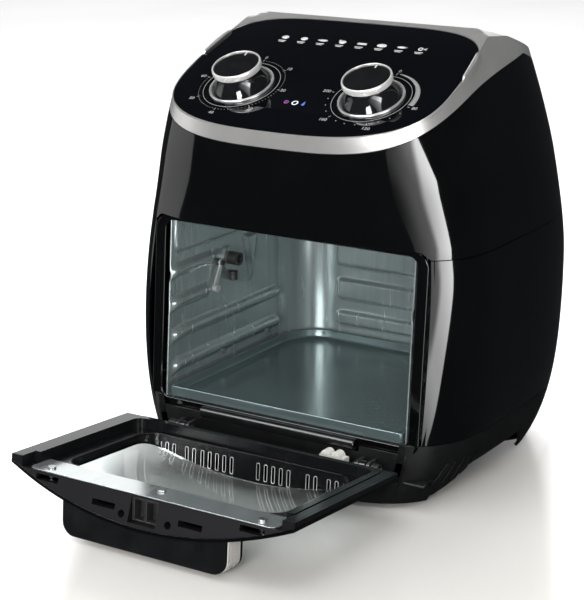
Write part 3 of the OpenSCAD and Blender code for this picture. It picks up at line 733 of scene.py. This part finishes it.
def jamb_frame():
    outer = [(math.copysign(barrel(v) - 1.2 - (DOOR_HALF - abs(x)), x), v)
             for x, v in round_rect(-DOOR_HALF, DOOR_HALF, -8, 161.5, 12, 10)]
    hole = round_rect(-OPENING_W / 2, OPENING_W / 2, 0, OPENING_H, 8)
    upright = JAMB @ shift(0, 2.5, 0) @ turn_x(math.pi / 2)
    frame_plate = plate_mesh("jamb_plate", [outer, hole], 0, 2.5, 0.8, upright, 3)
    made = to_object("opening_frame", frame_plate, GLOSS, "housing", ["jamb_frame"])
    middle = LIP_Z - 5.2
    profile = arc(-3.5, middle, 5, 60, 240, 24)
    narrow = [(y * 0.86 - 0.5, middle + (z - middle) * 0.86) for y, z in profile]
    inner = NOSE_HALF - 0.8
    lines = ((-NOSE_HALF, narrow), (-inner, profile), (inner, profile), (NOSE_HALF, narrow))
    rows = [[(x, y, z) for y, z in line] for x, line in lines]
    nose_mesh = clean(sheet("lip_nose", rows))
    nose = to_object("lip_nose", nose_mesh, SATIN_BLACK, "housing", ["jamb_frame"])
    thicken(nose, 1.6)
    soften(nose, 0.4, 2)
    return made


# ==== base ====
# turns a plate drawn in x and y into one drawn in y and z, with its thickness along x
ALONG_X = Matrix(((0, 0, 1, 0), (1, 0, 0, 0), (0, 1, 0, 0), (0, 0, 0, 1)))
SKIRT_Z = 4.0
LEDGE_Z = 25.0
LEDGE_HALF = 139.0
WALL_FOOT = 8.0
WALL_TOP = 43.6
WALL_TOP_SIDE = 48.6
RIB_COUNT = 9
FEET = ((-108, 26), (108, 26), (-112, 206), (112, 206))


def base():
    steps = 16
    rows = []
    for k in range(steps + 1):
        z = SKIRT_Z + (BASE_SEAM - GAP - SKIRT_Z) * k / steps
        rows.append([body_pt(t, z) for t in ROUND])
    mesh = sheet("base_skirt", rows, closed=True)
    made = to_object("base_skirt", mesh, MATTE, "housing", ["base_tray"])
    thicken(made, 2.6)
    cut(made, block("front_bay", (-140, -100, LEDGE_Z), (140, -3.5, 85), BODY))
    arch = [(20, -5), (20, 8)] + arc(22, 12, 3, -90, 62, 4)[1:] + arc(62, 17, 12, 118, -28, 5)
    arch += arc(146, 17, 12, 90, -34, 5) + [(174, 9), (174, -5)]
    across = BODY @ shift(-200, 0, 0) @ ALONG_X
    cut(made, plate_mesh("side_arch", [arch], 0, 400, 0, across))
    outline = round_rect(-1.5, 1.5, -11, 11, 1.45, 4)
    slots = []
    for side in (-1, 1):
        for start in (20, 192):
            for i in range(5):
                place = BODY @ shift(side * 150, start + i * 9, 29) @ turn_x(math.radians(-20)) @ ALONG_X
                slots.append(plate_mesh("vent", [outline], -30, 30, 0, place))
    cut(made, joined("vents", slots))
    soften(made, 0.6, 2)
    ledge()
    base_floor()
    return made


def across_at(z, y):
    """Half width of the body's outline at one height and depth."""
    v = (y - MID_Y) / ((MID_Y - front_at(z)) if y < MID_Y else (rear_at(z) - MID_Y))
    n = CURVE_FRONT if v < 0 else CURVE_REAR
    return half_w(z) * max(1 - min(abs(v), 0.999) ** n, 0.0) ** (1 / n)


def ledge():
    """Front shelf under the door with its row of diagonal vents, and the wall behind it."""
    slant = Matrix.Rotation(math.radians(-35), 4, "Z")
    vents = []
    for i in range(RIB_COUNT):
        place = shift(-52 + i * 11.5, -11, 0) @ slant
        vents.append([tuple((place @ Vector((*p, 0))).to_2d())
                      for p in round_rect(-1.5, 1.5, -5.6, 5.6, 1.4, 4)])
    front = [body_pt(math.radians(a), LEDGE_Z, 2.2) for a in range(216, 325, 2)]
    outline = [(p[0], p[1]) for p in front if abs(p[0]) < LEDGE_HALF]
    outline = [(-LEDGE_HALF, -1)] + outline + [(LEDGE_HALF, -1)]
    shelf = plate_mesh("front_ledge", [outline] + vents, LEDGE_Z - 2.5, LEDGE_Z, 0.3, BODY)
    heights = [WALL_FOOT + (WALL_TOP - WALL_FOOT) * k / 12 for k in range(13)]
    half = [(min(across_at(z, -0.8) - 2.6, LEDGE_HALF - 0.2), z) for z in heights]
    half += [(half[-1][0], WALL_TOP_SIDE), (80, WALL_TOP_SIDE), (79, WALL_TOP)]
    wall_outline = half + [(-x, z) for x, z in reversed(half)]
    upright = BODY @ shift(0, -2, 0) @ turn_x(math.pi / 2)
    wall = plate_mesh("ledge_wall", [wall_outline], -1, 1.5, 0.3, upright)
    mesh = joined("front_ledge", [shelf, wall])
    return to_object("front_ledge", mesh, MATTE, "housing", ["base_tray"])


def base_floor():
    """The floor's two levels: low over the feet, high across the air tunnel between them."""
    low, high, steps = 8, 29, 24
    line = [(-30, low), (44, low)] + arc(44, 12, 4, -90, 52, 5)[1:] + arc(64, 25, 4, 142, -52, 5)
    line += [(y, high) for y in (66, 80, 104, 128)] + arc(144, 25, 4, 90, -52, 5)
    line += arc(164, 12, 4, 218, 52, 5) + [(y, low) for y in (190, 228, 256, 290)]
    rows = []
    for y, z in line:
        wide = across_at(z, y) - 3
        limit = min(wide, 118) if 40 < y < 172 else wide
        rows.append([(limit * k / steps, y, z) for k in range(-steps, steps + 1)])
    mesh = sheet("base_floor", [row for row in rows if row[-1][0] > 30])
    made = to_object("base_floor", mesh, MATTE, "housing", ["base_tray"])
    return thicken(made, 2.2)


def feet():
    profile = [(4.5, 3.2), (4.5, 0.6), (5.1, 0), (9.6, 0), (10.7, 0.8), (11, 2), (10.6, 6.8), (4.4, 6.8)]
    profile.append(profile[0])
    shapes = [lathe("foot", profile, BODY @ shift(x, y, 0), 64) for x, y in FEET]
    made = to_object("foot_pads", joined("foot_pads", shapes), RUBBER, "housing", ["rubber_feet"])
    return soften(made, 0.3, 2)


# ==== control panel ====
PRINT_H = 0.10
TICK_HALF = 0.22
NUMERAL_SIZE = 5.0
GLASS_TOP = -0.35
LED_V = -17.3


def panel_loop(grow):
    loop = []
    for i in range(224):
        u, w = superellipse(2 * math.pi * i / 224, *PANEL_CURVES)
        deep = PANEL_FRONT if w < 0 else PANEL_REAR
        loop.append(((PANEL_HALF + grow) * u, PANEL_MID + (deep + grow) * w))
    return loop


def control_panel():
    holes = [circle(side * DIAL_X, 0, CUP_R + 1.4, 96) for side in (-1, 1)]
    mesh = plate_mesh("panel_glass", [panel_loop(0)] + holes, -3.0, GLASS_TOP, 0.3, PANEL)
    return to_object("panel_glass", mesh, PANEL_GLASS, "housing", ["control_panel"])


def clock(angle, r, cx=0.0):
    """A point at a clock angle in degrees: 0 towards the rear, growing clockwise."""
    a = math.radians(angle)
    return (cx + r * math.sin(a), r * math.cos(a))


def dot(angle, r, cx, size=0.42):
    x, y = clock(angle, r, cx)
    return circle(x, y, size, 10)


def tick(angle, r0, r1, cx):
    (x0, y0), (x1, y1) = clock(angle, r0, cx), clock(angle, r1, cx)
    side = clock(angle + 90, TICK_HALF)
    return [(x0 - side[0], y0 - side[1]), (x0 + side[0], y0 + side[1]),
            (x1 + side[0], y1 + side[1]), (x1 - side[0], y1 - side[1])]


def numeral(value, angle, r, cx):
    """A number on the dial, upright, as a thin flat mesh in panel millimetres."""
    curve = bpy.data.curves.new("numeral", "FONT")
    curve.body = str(value)
    curve.size = NUMERAL_SIZE
    curve.align_x = "CENTER"
    curve.align_y = "CENTER"
    curve.extrude = PRINT_H / 2
    mesh = mesh_from_curve(curve)
    x, y = clock(angle, r, cx)
    mesh.transform(PANEL @ shift(x, y, GLASS_TOP + PRINT_H / 2))
    return mesh


def print_on_panel(name, loops, material, extra=()):
    """Thin raised print: outlines on the glass, and any further meshes."""
    flat = plate_mesh(name, loops, GLASS_TOP, GLASS_TOP + PRINT_H, 0, PANEL, 0)
    return to_object(name, joined(name, [flat, *extra]), material, "housing",
                     ["control_panel"])


SCALE_LINE_R = 33.4
SCALE_DOT_R = 37.4
SCALE_TEXT_R = 42.3


def ring_loops(cx, r, half):
    return [circle(cx, 0, r + half, 128), circle(cx, 0, r - half, 128)]


def timer_scale():
    cx = -DIAL_X
    per_ten = 46.5
    loops = ring_loops(cx, SCALE_LINE_R, 0.17)
    loops += [dot(per_ten * m / 10, SCALE_DOT_R, cx, 0.33) for m in range(61) if m % 10]
    loops += [tick(per_ten * m, SCALE_DOT_R - 1, SCALE_DOT_R + 1.6, cx) for m in range(7)]
    text = [numeral(10 * m, per_ten * m, SCALE_TEXT_R + (1 if m > 3 else 0), cx) for m in range(7)]
    print_on_panel("timer_scale", loops, PRINT, text)
    x, y = clock(-38, 47, cx)
    bell = [(x - 3.2, y - 2), (x + 3.2, y - 2), (x + 2.2, y - 0.8)] + arc(x, y + 0.4, 2.0, 0, 180, 14)
    bell += [(x - 2.2, y - 0.8)]
    loops = [bell, circle(x, y - 3.0, 0.7, 14), circle(x, y + 3.1, 0.6, 12)]
    return print_on_panel("timer_bell_mark", loops, PRINT)


def crescent(cx, start, stop, r, thin, thick):
    """A curved wedge on the dial that widens clockwise."""
    steps = 40
    outer, inner = [], []
    for k in range(steps + 1):
        s = k / steps
        half = (thin + (thick - thin) * s ** 0.8) / 2
        angle = start + (stop - start) * s
        outer.append(clock(angle, r + half, cx))
        inner.append(clock(angle, r - half, cx))
    return outer + inner[::-1]


def temperature_scale():
    cx = DIAL_X
    loops = ring_loops(cx, SCALE_LINE_R, 0.17)
    per_forty = 58.3
    for k in range(3):
        loops += [dot(100 + per_forty * (k + s / 4), SCALE_DOT_R + 0.4, cx, 0.5) for s in (1, 2, 3)]
    loops += [tick(100 + per_forty * k, SCALE_DOT_R - 0.8, SCALE_DOT_R + 1.6, cx) for k in range(4)]
    loops.append(tick(7, SCALE_DOT_R - 1.5, SCALE_DOT_R + 1.5, cx))
    text = [numeral(80 + 40 * k, 100 + per_forty * k, SCALE_TEXT_R + 1.6, cx) for k in range(4)]
    text.append(numeral(0, 7, SCALE_TEXT_R - 0.5, cx))
    print_on_panel("temperature_scale", loops, PRINT, text)
    wedge = crescent(cx, 11, 96, 38.0, 1.0, 5.2)
    print_on_panel("temperature_wedge", [wedge], PRINT_WEDGE)
    x, y = clock(-44, 49, cx)
    bulb = arc(x, y - 2.6, 1.5, -62, 304, 18)
    stem = [(x + 0.7, y - 1.2), (x + 0.7, y + 3.4), (x - 0.7, y + 3.4), (x - 0.7, y - 1.2)]
    return print_on_panel("temperature_mark", [bulb, stem], PRINT)


ICON_V = 76.0
ICON_SCALE = 0.86


def icon_shapes(kind, x, y):
    """A generic food mark, and two short bars below it."""
    bars = [round_rect(x - 5.4, x + 3.8, y - 6.4, y - 5.4, 0.4, 3),
            round_rect(x - 4.2, x + 2.6, y - 8.4, y - 7.5, 0.4, 3)]
    if kind in (0, 1):
        return bars + [ellipse(x, y, 4.0, 2.9)]
    if kind in (2, 6):
        side = 1 if kind == 6 else -1
        stalk = round_rect(x + side * 5.4 - 0.9, x + side * 5.4 + 0.9, y - 0.6, y + 0.9, 0.4, 3)
        return bars + [ellipse(x, y, 5.0, 1.7), stalk]
    if kind == 3:
        horn = [(x - 4.6, y + 3.8), (x - 2.6, y + 3.4), (x - 3.8, y + 0.6), (x - 5.2, y + 1.2)]
        return bars + [ellipse(x, y, 4.0, 2.9), horn]
    if kind == 4:
        return bars + [round_rect(x - 5.2, x + 5.2, y - 1.6, y + 1.6, 0.7, 4)]
    if kind == 5:
        return bars + [ellipse(x, y, 5.4, 2.9)]
    hollow = [circle(x - 1.4, y, 2.7, 30), circle(x - 1.4, y, 1.5, 30)]
    tail = [(x + 1.9, y - 0.5), (x + 5.6, y - 1.4), (x + 4.6, y + 0.4), (x + 5.6, y + 2.2),
            (x + 1.9, y + 0.7)]
    return bars + hollow + [tail]


def food_row():
    """Eight marks in a row near the rear edge of the panel."""
    loops = []
    for k in range(8):
        x = -63.0 + 19.1 * k
        for loop in icon_shapes(k, x, ICON_V):
            loops.append([(x + (px - x) * ICON_SCALE, ICON_V + (py - ICON_V) * ICON_SCALE)
                          for px, py in loop])
    return print_on_panel("programme_marks", loops, PRINT_BRIGHT)


def indicator_marks():
    colors = (("purple", (0.28, 0.06, 0.32)), ("white", (0.8, 0.84, 1.0)), ("blue", (0.07, 0.16, 0.75)))
    for k, (name, color) in enumerate(colors):
        x = -8.3 + 8.3 * k
        if k == 1:
            loops = [circle(x, LED_V, 2.9, 48), circle(x, LED_V, 2.0, 48)]
        elif k == 0:
            loops = [circle(x, LED_V, 2.2, 36), circle(x, LED_V, 1.5, 36), circle(x, LED_V - 0.2, 0.6, 16)]
        else:
            loops = [[(x, LED_V + 3.2), (x + 1.2, LED_V - 0.4)] + arc(x, LED_V - 1.2, 1.4, 30, -240, 16)
                     + [(x - 1.2, LED_V - 0.4)]]
        made = surface("lamp_" + name, [c * 0.5 for c in color], color, (0.3, 0.4), 300)
        glow(made, color, 0.5 if k == 1 else 0.3)
        print_on_panel("lamp_mark_" + name, loops, made)


# ==== dials ====
def dial(side, prefix, body):
    place = PANEL @ shift(side * DIAL_X, 0, 0)
    lip = CUP_R + 2
    profile = [(lip, GLASS_TOP), (lip, 0.5), (lip - 0.5, 1.2), (lip - 1.2, 1.45), (lip - 1.9, 1.2),
               (lip - 2.4, 0.5), (lip - 2.4, -5.4), (4.1, -5.6), (4.1, -7), (CUP_R + 1.2, -7),
               (CUP_R + 1.2, GLASS_TOP), (lip, GLASS_TOP)]
    ring = to_object(prefix + "_bezel_ring", lathe(prefix + "_bezel_ring", profile, place), CHROME, "housing",
                     [prefix + "_bezel"])
    soften(ring, 0.25, 2)
    flare = [(24.2, -4.5), (24.5, -3.6), (24.4, -1)]
    flare += [(24.4 - 6.4 * math.sin(math.pi / 2 * k / 12), -1 + 15 * k / 12) for k in range(1, 13)]
    skirt = lathe(prefix + "_skirt", [(3.1, -4.5)] + flare + [(3.1, 14)] + [(3.1, -4.5)], place)
    made = to_object(prefix + "_skirt", skirt, KNOB_BLACK, body, [prefix + "_knob"])
    soften(made, 0.3, 2)
    band = [(17, 14.2), (KNOB_R - 1.4, 14.2), (KNOB_R - 0.5, 14.6), (KNOB_R, 15.6), (KNOB_R, 18.6),
            (KNOB_R - 0.25, 19.6), (KNOB_R - 0.8, 20.25), (KNOB_R - 1.3, 20.25), (KNOB_R - 1.6, 19.9),
            (KNOB_R - 1.6, 18.3), (17, 18.3), (17, 14.2)]
    silver = to_object(prefix + "_grip_ring", lathe(prefix + "_grip_ring", band, place), KNOB_SILVER, body,
                       [prefix + "_knob_ring"])
    soften(silver, 0.15, 2, 40)
    disc = [(0, 19.3), (8, 19.32), (14, 19.4), (KNOB_R - 2.4, 19.6), (KNOB_R - 1.8, 19.3),
            (KNOB_R - 1.8, 18.5), (0, 18.5)]
    cap_mesh = lathe(prefix + "_cap_disc", disc, place)
    to_object(prefix + "_cap_disc", cap_mesh, KNOB_BLACK, body, [prefix + "_knob_cap"])
    mark = [round_rect(-0.55, 0.55, KNOB_R - 6.6, KNOB_R - 2.6, 0.3, 4)]
    line = plate_mesh(prefix + "_pointer", mark, 19.3, 19.8, 0.1, place)
    to_object(prefix + "_pointer", line, PRINT_BRIGHT, body, [prefix + "_knob_cap"])


# ==== cavity ====
RIB_Z = (79.0, 107.5, 136.0, 164.5)
RIB_END = (188.0, 188.0, 72.0, 78.0)
RIB_TALL = 4.2
BACK_PANELS = ((129.0, 236.0), (96.0, 117.6), (71.0, 85.2))
BACK_HALF = 77.0


def smooth(value):
    value = min(max(value, 0.0), 1.0)
    return value * value * (3 - 2 * value)


def inside(u, v, box, r):
    """How deep a point lies inside a rounded rectangle (u0, u1, v0, v1); negative outside."""
    u0, u1, v0, v1 = box
    du = abs(u - (u0 + u1) / 2) - (u1 - u0) / 2 + r
    dv = abs(v - (v0 + v1) / 2) - (v1 - v0) / 2 + r
    return r - math.hypot(max(du, 0), max(dv, 0)) - min(max(du, dv), 0)


def side_relief(y, z, has_drive):
    """How far the side wall stands into the cavity: rack ledges, upper panel and, by the drive, a gusset."""
    depth = 0.0
    for centre, end in zip(RIB_Z, RIB_END):
        droop = 10.0 * math.exp(-max(y - 4.0, 0) / 7.0)
        near = 1 - ((z - centre + droop) / 5.2) ** 2
        if near > 0:
            depth = max(depth, RIB_TALL * math.sqrt(near) * smooth((end - y) / 7) * smooth((y - 9) / 9))
    upper = inside(y, z, (17, 123, 178.6, 262), 8)
    depth = max(depth, 2.6 * smooth(upper / 3.4))
    if has_drive:
        half = 10.5 * (z - 127.0) / 46.0
        wedge = min(half - abs(y - 136), z - 129, 173 - z)
        depth = max(depth, 3.2 * smooth(wedge / 3.0 + 0.3) if 127 < z < 175 else 0)
    return depth


def back_relief(x, z):
    depth = 0.0
    for z0, z1 in BACK_PANELS:
        depth = max(depth, 3.4 * smooth(inside(x, z, (-BACK_HALF, BACK_HALF, z0, z1), 5) / 2.6))
    return depth


def wall_row(z, steps_side, steps_arc, steps_back):
    w, d, r = CAVITY_W / 2, CAVITY_D, CAVITY_R
    y0 = jamb_y(z) + 3.1
    row = []
    for i in range(steps_side):
        y = y0 + (d - r - y0) * i / steps_side
        row.append((-w + side_relief(y, z, True), y, z))
    for i in range(steps_arc):
        a = math.pi - math.pi / 2 * i / steps_arc
        row.append((-w + r + r * math.cos(a), d - r + r * math.sin(a), z))
    for i in range(steps_back + 1):
        x = -w + r + 2 * (w - r) * i / steps_back
        row.append((x, d - back_relief(x, z), z))
    for i in range(1, steps_arc + 1):
        a = math.pi / 2 * (1 - i / steps_arc)
        row.append((w - r + r * math.cos(a), d - r + r * math.sin(a), z))
    for i in range(1, steps_side + 1):
        y = d - r + (y0 - (d - r)) * i / steps_side
        row.append((w - side_relief(y, z, False), y, z))
    return row


def cavity_walls():
    steps = 128
    rows = [wall_row(FLOOR_Z + (CEILING_Z - FLOOR_Z) * k / steps, 112, 20, 84) for k in range(steps + 1)]
    mesh = sheet("cavity_wall", rows)
    made = to_object("cavity_wall", mesh, CAVITY, "housing", ["cavity_liner"])
    thicken(made, 0.9)
    outline = [(CAVITY_W / 2, TRAY_FRONT)]
    outline += arc(CAVITY_W / 2 - CAVITY_R, CAVITY_D - CAVITY_R, CAVITY_R, 0, 90, 16)
    outline += arc(-CAVITY_W / 2 + CAVITY_R, CAVITY_D - CAVITY_R, CAVITY_R, 90, 90, 16)
    outline += [(-CAVITY_W / 2, TRAY_FRONT)]
    floor_mesh = plate_mesh("cavity_floor", [outline], FLOOR_Z - 1, FLOOR_Z, 0.2, BODY)
    to_object("cavity_floor", floor_mesh, CAVITY, "housing", ["cavity_liner"])
    return made


def pan_loop(inset, z):
    w, front, d, r = 116 - inset, TRAY_FRONT + inset, 220 - inset, 36 - inset
    loop = arc(w - r, d - r, r, 0, 90, 24) + arc(-w + r, d - r, r, 90, 90, 24)
    small = max(3 - inset * 0.3, 1)
    loop += arc(-w + small, front + small, small, 180, 90, 8)
    loop += arc(w - small, front + small, small, 270, 90, 8)
    return [(x, y, z) for x, y in loop]


def drip_tray():
    """A shallow pan with rounded rear corners, a rolled edge and a faintly raised border."""
    levels = ((0.0, 63.0), (0.25, 63.7), (0.8, 64.0), (1.4, 63.7), (1.7, 63.0), (2.4, 58.2), (3.2, 56.6),
              (4.6, 56.15), (14, 56.15), (15, 56.5), (16, 56.5), (17, 56.15), (34, 56.15))
    rows = [pan_loop(inset, z) for inset, z in levels]
    rows.insert(0, pan_loop(0.0, 55.6))
    mesh = sheet("roasting_pan", rows, closed=True)
    work = bmesh.new()
    work.from_mesh(mesh)
    work.verts.ensure_lookup_table()
    wide = len(rows[0])
    work.faces.new([work.verts[len(work.verts) - wide + i] for i in range(wide)])
    bmesh.ops.recalc_face_normals(work, faces=work.faces)
    work.to_mesh(mesh)
    work.free()
    made = to_object("roasting_pan", mesh, TRAY, "housing", ["drip_tray"])
    thicken(made, 0.6)
    step = made.modifiers.new("shading", "WEIGHTED_NORMAL")
    step.keep_sharp = True
    return made


# ==== door ====
def slot_rims():
    """Bright pressed edges round the vent slots in the hinge wall of the window."""
    rims = []
    for start, count in SLOT_GROUPS:
        for i in range(count):
            x = start + i * SLOT_PITCH
            loops = [round_rect(x - 0.55, x + SLOT_WIDE + 0.55, -30.4, -15.5, 1.3, 5),
                     round_rect(x, x + SLOT_WIDE, -29.8, -16, 1.0, 5)]
            rims.append(plate_mesh("slot_rim", loops, 0, 0.4, 0.15, DOOR @ shift(0, 0, WIN_V0)))
    return to_object("door_slot_rims", joined("door_slot_rims", rims), CHROME, "door")


def door_parts():
    slot_rims()
    refined("door_inner_frame", "door_frame", SATIN_DOOR, "door", 0.5)
    refined("door_outer_skin", "door_skin", GLOSS, "door", 0.6)
    refined("door_steel_plate", "door_plate", PLATE, "door", 0.2)
    refined("door_plate_screws", "door_screws", ZINC, "door", 0.25)
    refined("door_latch_pocket", "door_latch", DARK_STEEL, "door", 0.3)
    refined("door_hinge_arms", "door_arms", SATIN_BLACK, "door", 0.4)
    refined("handle_body", "handle_grip", SATIN_BLACK, "door", 0.6)
    refined("handle_wrap", "handle_band", BRUSHED, "door", 0.4)


# ==== lights, floor and camera ====
CAMERA_PLACE = (0.79684, -1.23889 + front_y * MM, 0.58601)
CAMERA_LENS = 111.06
CAMERA_TILT = 73.88
CAMERA_TURN = 32.33


def camera():
    data = bpy.data.cameras.new("camera")
    data.lens = CAMERA_LENS
    data.sensor_width = 36.0
    made = loose("camera", data)
    made.location = CAMERA_PLACE
    made.rotation_euler = (math.radians(CAMERA_TILT), 0, math.radians(CAMERA_TURN))
    bpy.context.scene.camera = made


AIM = Vector((0, 0, 0.2))


def softbox(name, azimuth, elevation, distance, size, power, roll=0, glossy=True, diffuse=True):
    """A rectangular light turned to AIM: azimuth is from +X towards +Y, and size is (across, up)."""
    data = bpy.data.lights.new(name, "AREA")
    data.shape = "RECTANGLE"
    data.size, data.size_y = size
    data.energy = power
    made = loose(name, data)
    a, e = math.radians(azimuth), math.radians(elevation)
    away = Vector((math.cos(a) * math.cos(e), math.sin(a) * math.cos(e), math.sin(e)))
    made.location = AIM + away * distance
    facing = away.to_track_quat("Z", "Y").to_matrix() @ Matrix.Rotation(math.radians(roll), 3, "Z")
    made.rotation_euler = facing.to_euler()
    made.visible_camera = False
    made.visible_glossy = glossy
    made.visible_diffuse = diffuse
    return made


def faded(light, across, up):
    """Fades a light over its area: across and up are lists of (position, share of the full brightness)."""
    light.data.use_nodes = True
    tree = light.data.node_tree
    emission = next(one for one in tree.nodes if one.type == "EMISSION")
    place = node(tree, "ShaderNodeNewGeometry")
    split = node(tree, "ShaderNodeSeparateXYZ")
    wire(place.outputs["Parametric"], split.inputs["Vector"])
    shares = []
    for axis, stops in (("X", across), ("Y", up)):
        ramp = node(tree, "ShaderNodeValToRGB")
        ramp.color_ramp.interpolation = "EASE"
        band = ramp.color_ramp.elements
        while len(band) < len(stops):
            band.new(0.5)
        for stop, (position, share) in zip(band, stops):
            stop.position = position
            stop.color = (share, share, share, 1)
        wire(split.outputs[axis], ramp.inputs["Fac"])
        shares.append(ramp)
    both = node(tree, "ShaderNodeMath", operation="MULTIPLY")
    wire(shares[0].outputs["Color"], both.inputs[0])
    wire(shares[1].outputs["Color"], both.inputs[1])
    wire(both.outputs["Value"], emission.inputs["Strength"])
    return light


# Where the floor's painted shadow lies: its turn about z in degrees, and its middle and soft edges in metres.
SHADOW_STRIP_TURN = 26.8
SHADOW_STRIP_MIDDLE = 0.045 + 0.45 * front_y * MM
SHADOW_STRIP_HALF = (0.172, 0.212)


def floor_glow(paint):
    """White paper that glows outside a painted shadow: a warm grey strip, without the glow, that runs forward
    from the oven.
    """
    tree = paint.node_tree
    shade = tree.nodes["Principled BSDF"]
    beside = share(tree, "X", *SHADOW_STRIP_HALF, -SHADOW_STRIP_TURN, -SHADOW_STRIP_MIDDLE, both_ways=True)
    behind = share(tree, "Y", 0.0, 0.2, -SHADOW_STRIP_TURN)
    # either is 1 outside the painted shadow strip and 0 inside it.
    either = node(tree, "ShaderNodeMath", operation="MAXIMUM")
    wire(beside, either.inputs[0])
    wire(behind, either.inputs[1])
    # Inside the strip the floor keeps its darker grey and gets no glow: painted shadow.
    blend(tree, either.outputs["Value"], shade.inputs["Base Color"], (0.9, 0.9, 0.9, 1))
    put(shade, "Emission Color", (1, 1, 1, 1))
    blend(tree, either.outputs["Value"], shade.inputs["Emission Strength"], 0.45)


def background(tree, color, strength):
    made = node(tree, "ShaderNodeBackground")
    put(made, "Color", (*color, 1))
    put(made, "Strength", strength)
    return made.outputs["Background"]


def studio():
    """Floor, a world that is white to the camera and dark in reflections, and the lights."""
    data = bpy.data.meshes.new("floor")
    reach = 9
    data.from_pydata([(-reach, -reach, 0), (reach, -reach, 0), (reach, reach, 0), (-reach, reach, 0)],
                     [], [(0, 1, 2, 3)])
    floor = loose("floor", data)
    # The floor's own colour is the warm grey of the painted shadow; outside the strip it turns white and
    # glows.
    paint = surface("floor_paint_and_painted_shadow", (0.71, 0.695, 0.665), (0.72, 0.705, 0.675), (0.2, 0.26), 3)
    floor_glow(paint)
    floor.data.materials.append(paint)
    floor.visible_glossy = False
    world = bpy.data.worlds.new("studio")
    world.use_nodes = True
    bpy.context.scene.world = world
    tree = world.node_tree
    tree.nodes.clear()
    ray = node(tree, "ShaderNodeLightPath")
    reflected = node(tree, "ShaderNodeMixShader")
    wire(ray.outputs["Is Glossy Ray"], reflected.inputs["Fac"])
    wire(background(tree, (1.0, 1.0, 1.0), 0.78), reflected.inputs[1])
    wire(background(tree, (0.9, 0.95, 1.0), 0.025), reflected.inputs[2])
    seen = node(tree, "ShaderNodeMixShader")
    wire(ray.outputs["Is Camera Ray"], seen.inputs["Fac"])
    wire(reflected.outputs["Shader"], seen.inputs[1])
    wire(background(tree, (0.97, 0.97, 0.965), 1.0), seen.inputs[2])
    out = node(tree, "ShaderNodeOutputWorld")
    wire(seen.outputs["Shader"], out.inputs["Surface"])
    softbox("back_key", 107, 44, 2.5, (1.0, 1.0), 30, glossy=False)
    softbox("front_fill", -68, 22, 2.4, (1.2, 0.9), 22, glossy=False)
    softbox("top_light", -100, 72, 2.2, (1.6, 1.2), 14)
    right = softbox("right_card", -42, -6, 2.0, (1.54, 2.1), 140, roll=-33, diffuse=False)
    faded(right, [(0.0, 0.1), (0.45, 0.26), (0.62, 1.0), (1.0, 1.0)], [(0.0, 0.03), (0.45, 0.4), (1.0, 1.0)])
    softbox("rear_left_card", 127, 16, 2.0, (1.7, 1.1), 8.5, diffuse=False)
    softbox("band_light", -115, 40, 2.0, (1.4, 0.9), 45, diffuse=False)
    left = softbox("left_card", 188, -12, 2.0, (1.46, 2.3), 12, diffuse=False)
    faded(left, [(0.0, 0.5), (1.0, 1.0)], [(0.0, 0.4), (1.0, 1.0)])
    softbox("cavity_light", -78, 10, 2.4, (0.7, 0.5), 26)


# ==== the remaining CAD pieces keep their shape and take a finish ====
CAD_FINISH = {
    "base_screws": ZINC, "indicator_lenses": LENS, "indicator_board": BOARD,
    "timer_shaft": ZINC, "thermostat_shaft": ZINC, "timer_unit": BRASS, "thermostat_unit": CERAMIC,
    "thermostat_probe": COPPER, "cavity_ceiling": CAVITY, "wall_screws": ZINC,
    "heating_element": ELEMENT, "element_guard": ZINC, "fan_shroud": CAVITY,
    "convection_fan": ALUMINIUM, "cooling_fan": MATTE, "motor_shaft": ZINC, "fan_motor": MOTOR,
    "motor_bracket": ZINC, "rotisserie_motor": MOTOR, "socket_boss": CAVITY, "drive_socket": DARK_STEEL,
    "release_lever": CHROME, "lever_spring": DARK_STEEL, "spit_bearing": ZINC,
    "hinge_brackets": DARK_STEEL, "hinge_pins": DARK_STEEL, "hinge_spring": DARK_STEEL, "nylon_bumper": NYLON,
    "door_switch": MATTE, "switch_plunger": NYLON, "door_catch": ZINC, "cord_gland": RUBBER,
    "door_glass": DOOR_GLASS,
}


def finish_cad_nodes():
    for name, material in CAD_FINISH.items():
        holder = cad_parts[name]
        if not holder.material_slots:
            holder.data.materials.append(material)
        for spot in holder.material_slots:
            spot.material = material


camera()
studio()
upper_housing()
lower_housing()
rear_cover()
top_cap()
jamb_frame()
base()
feet()
control_panel()
timer_scale()
temperature_scale()
food_row()
indicator_marks()
dial(-1, "timer", "timer_dial")
dial(1, "thermostat", "temperature_dial")
cavity_walls()
drip_tray()
door_parts()
finish_cad_nodes()
bpy.context.scene.view_settings.view_transform = "Standard"
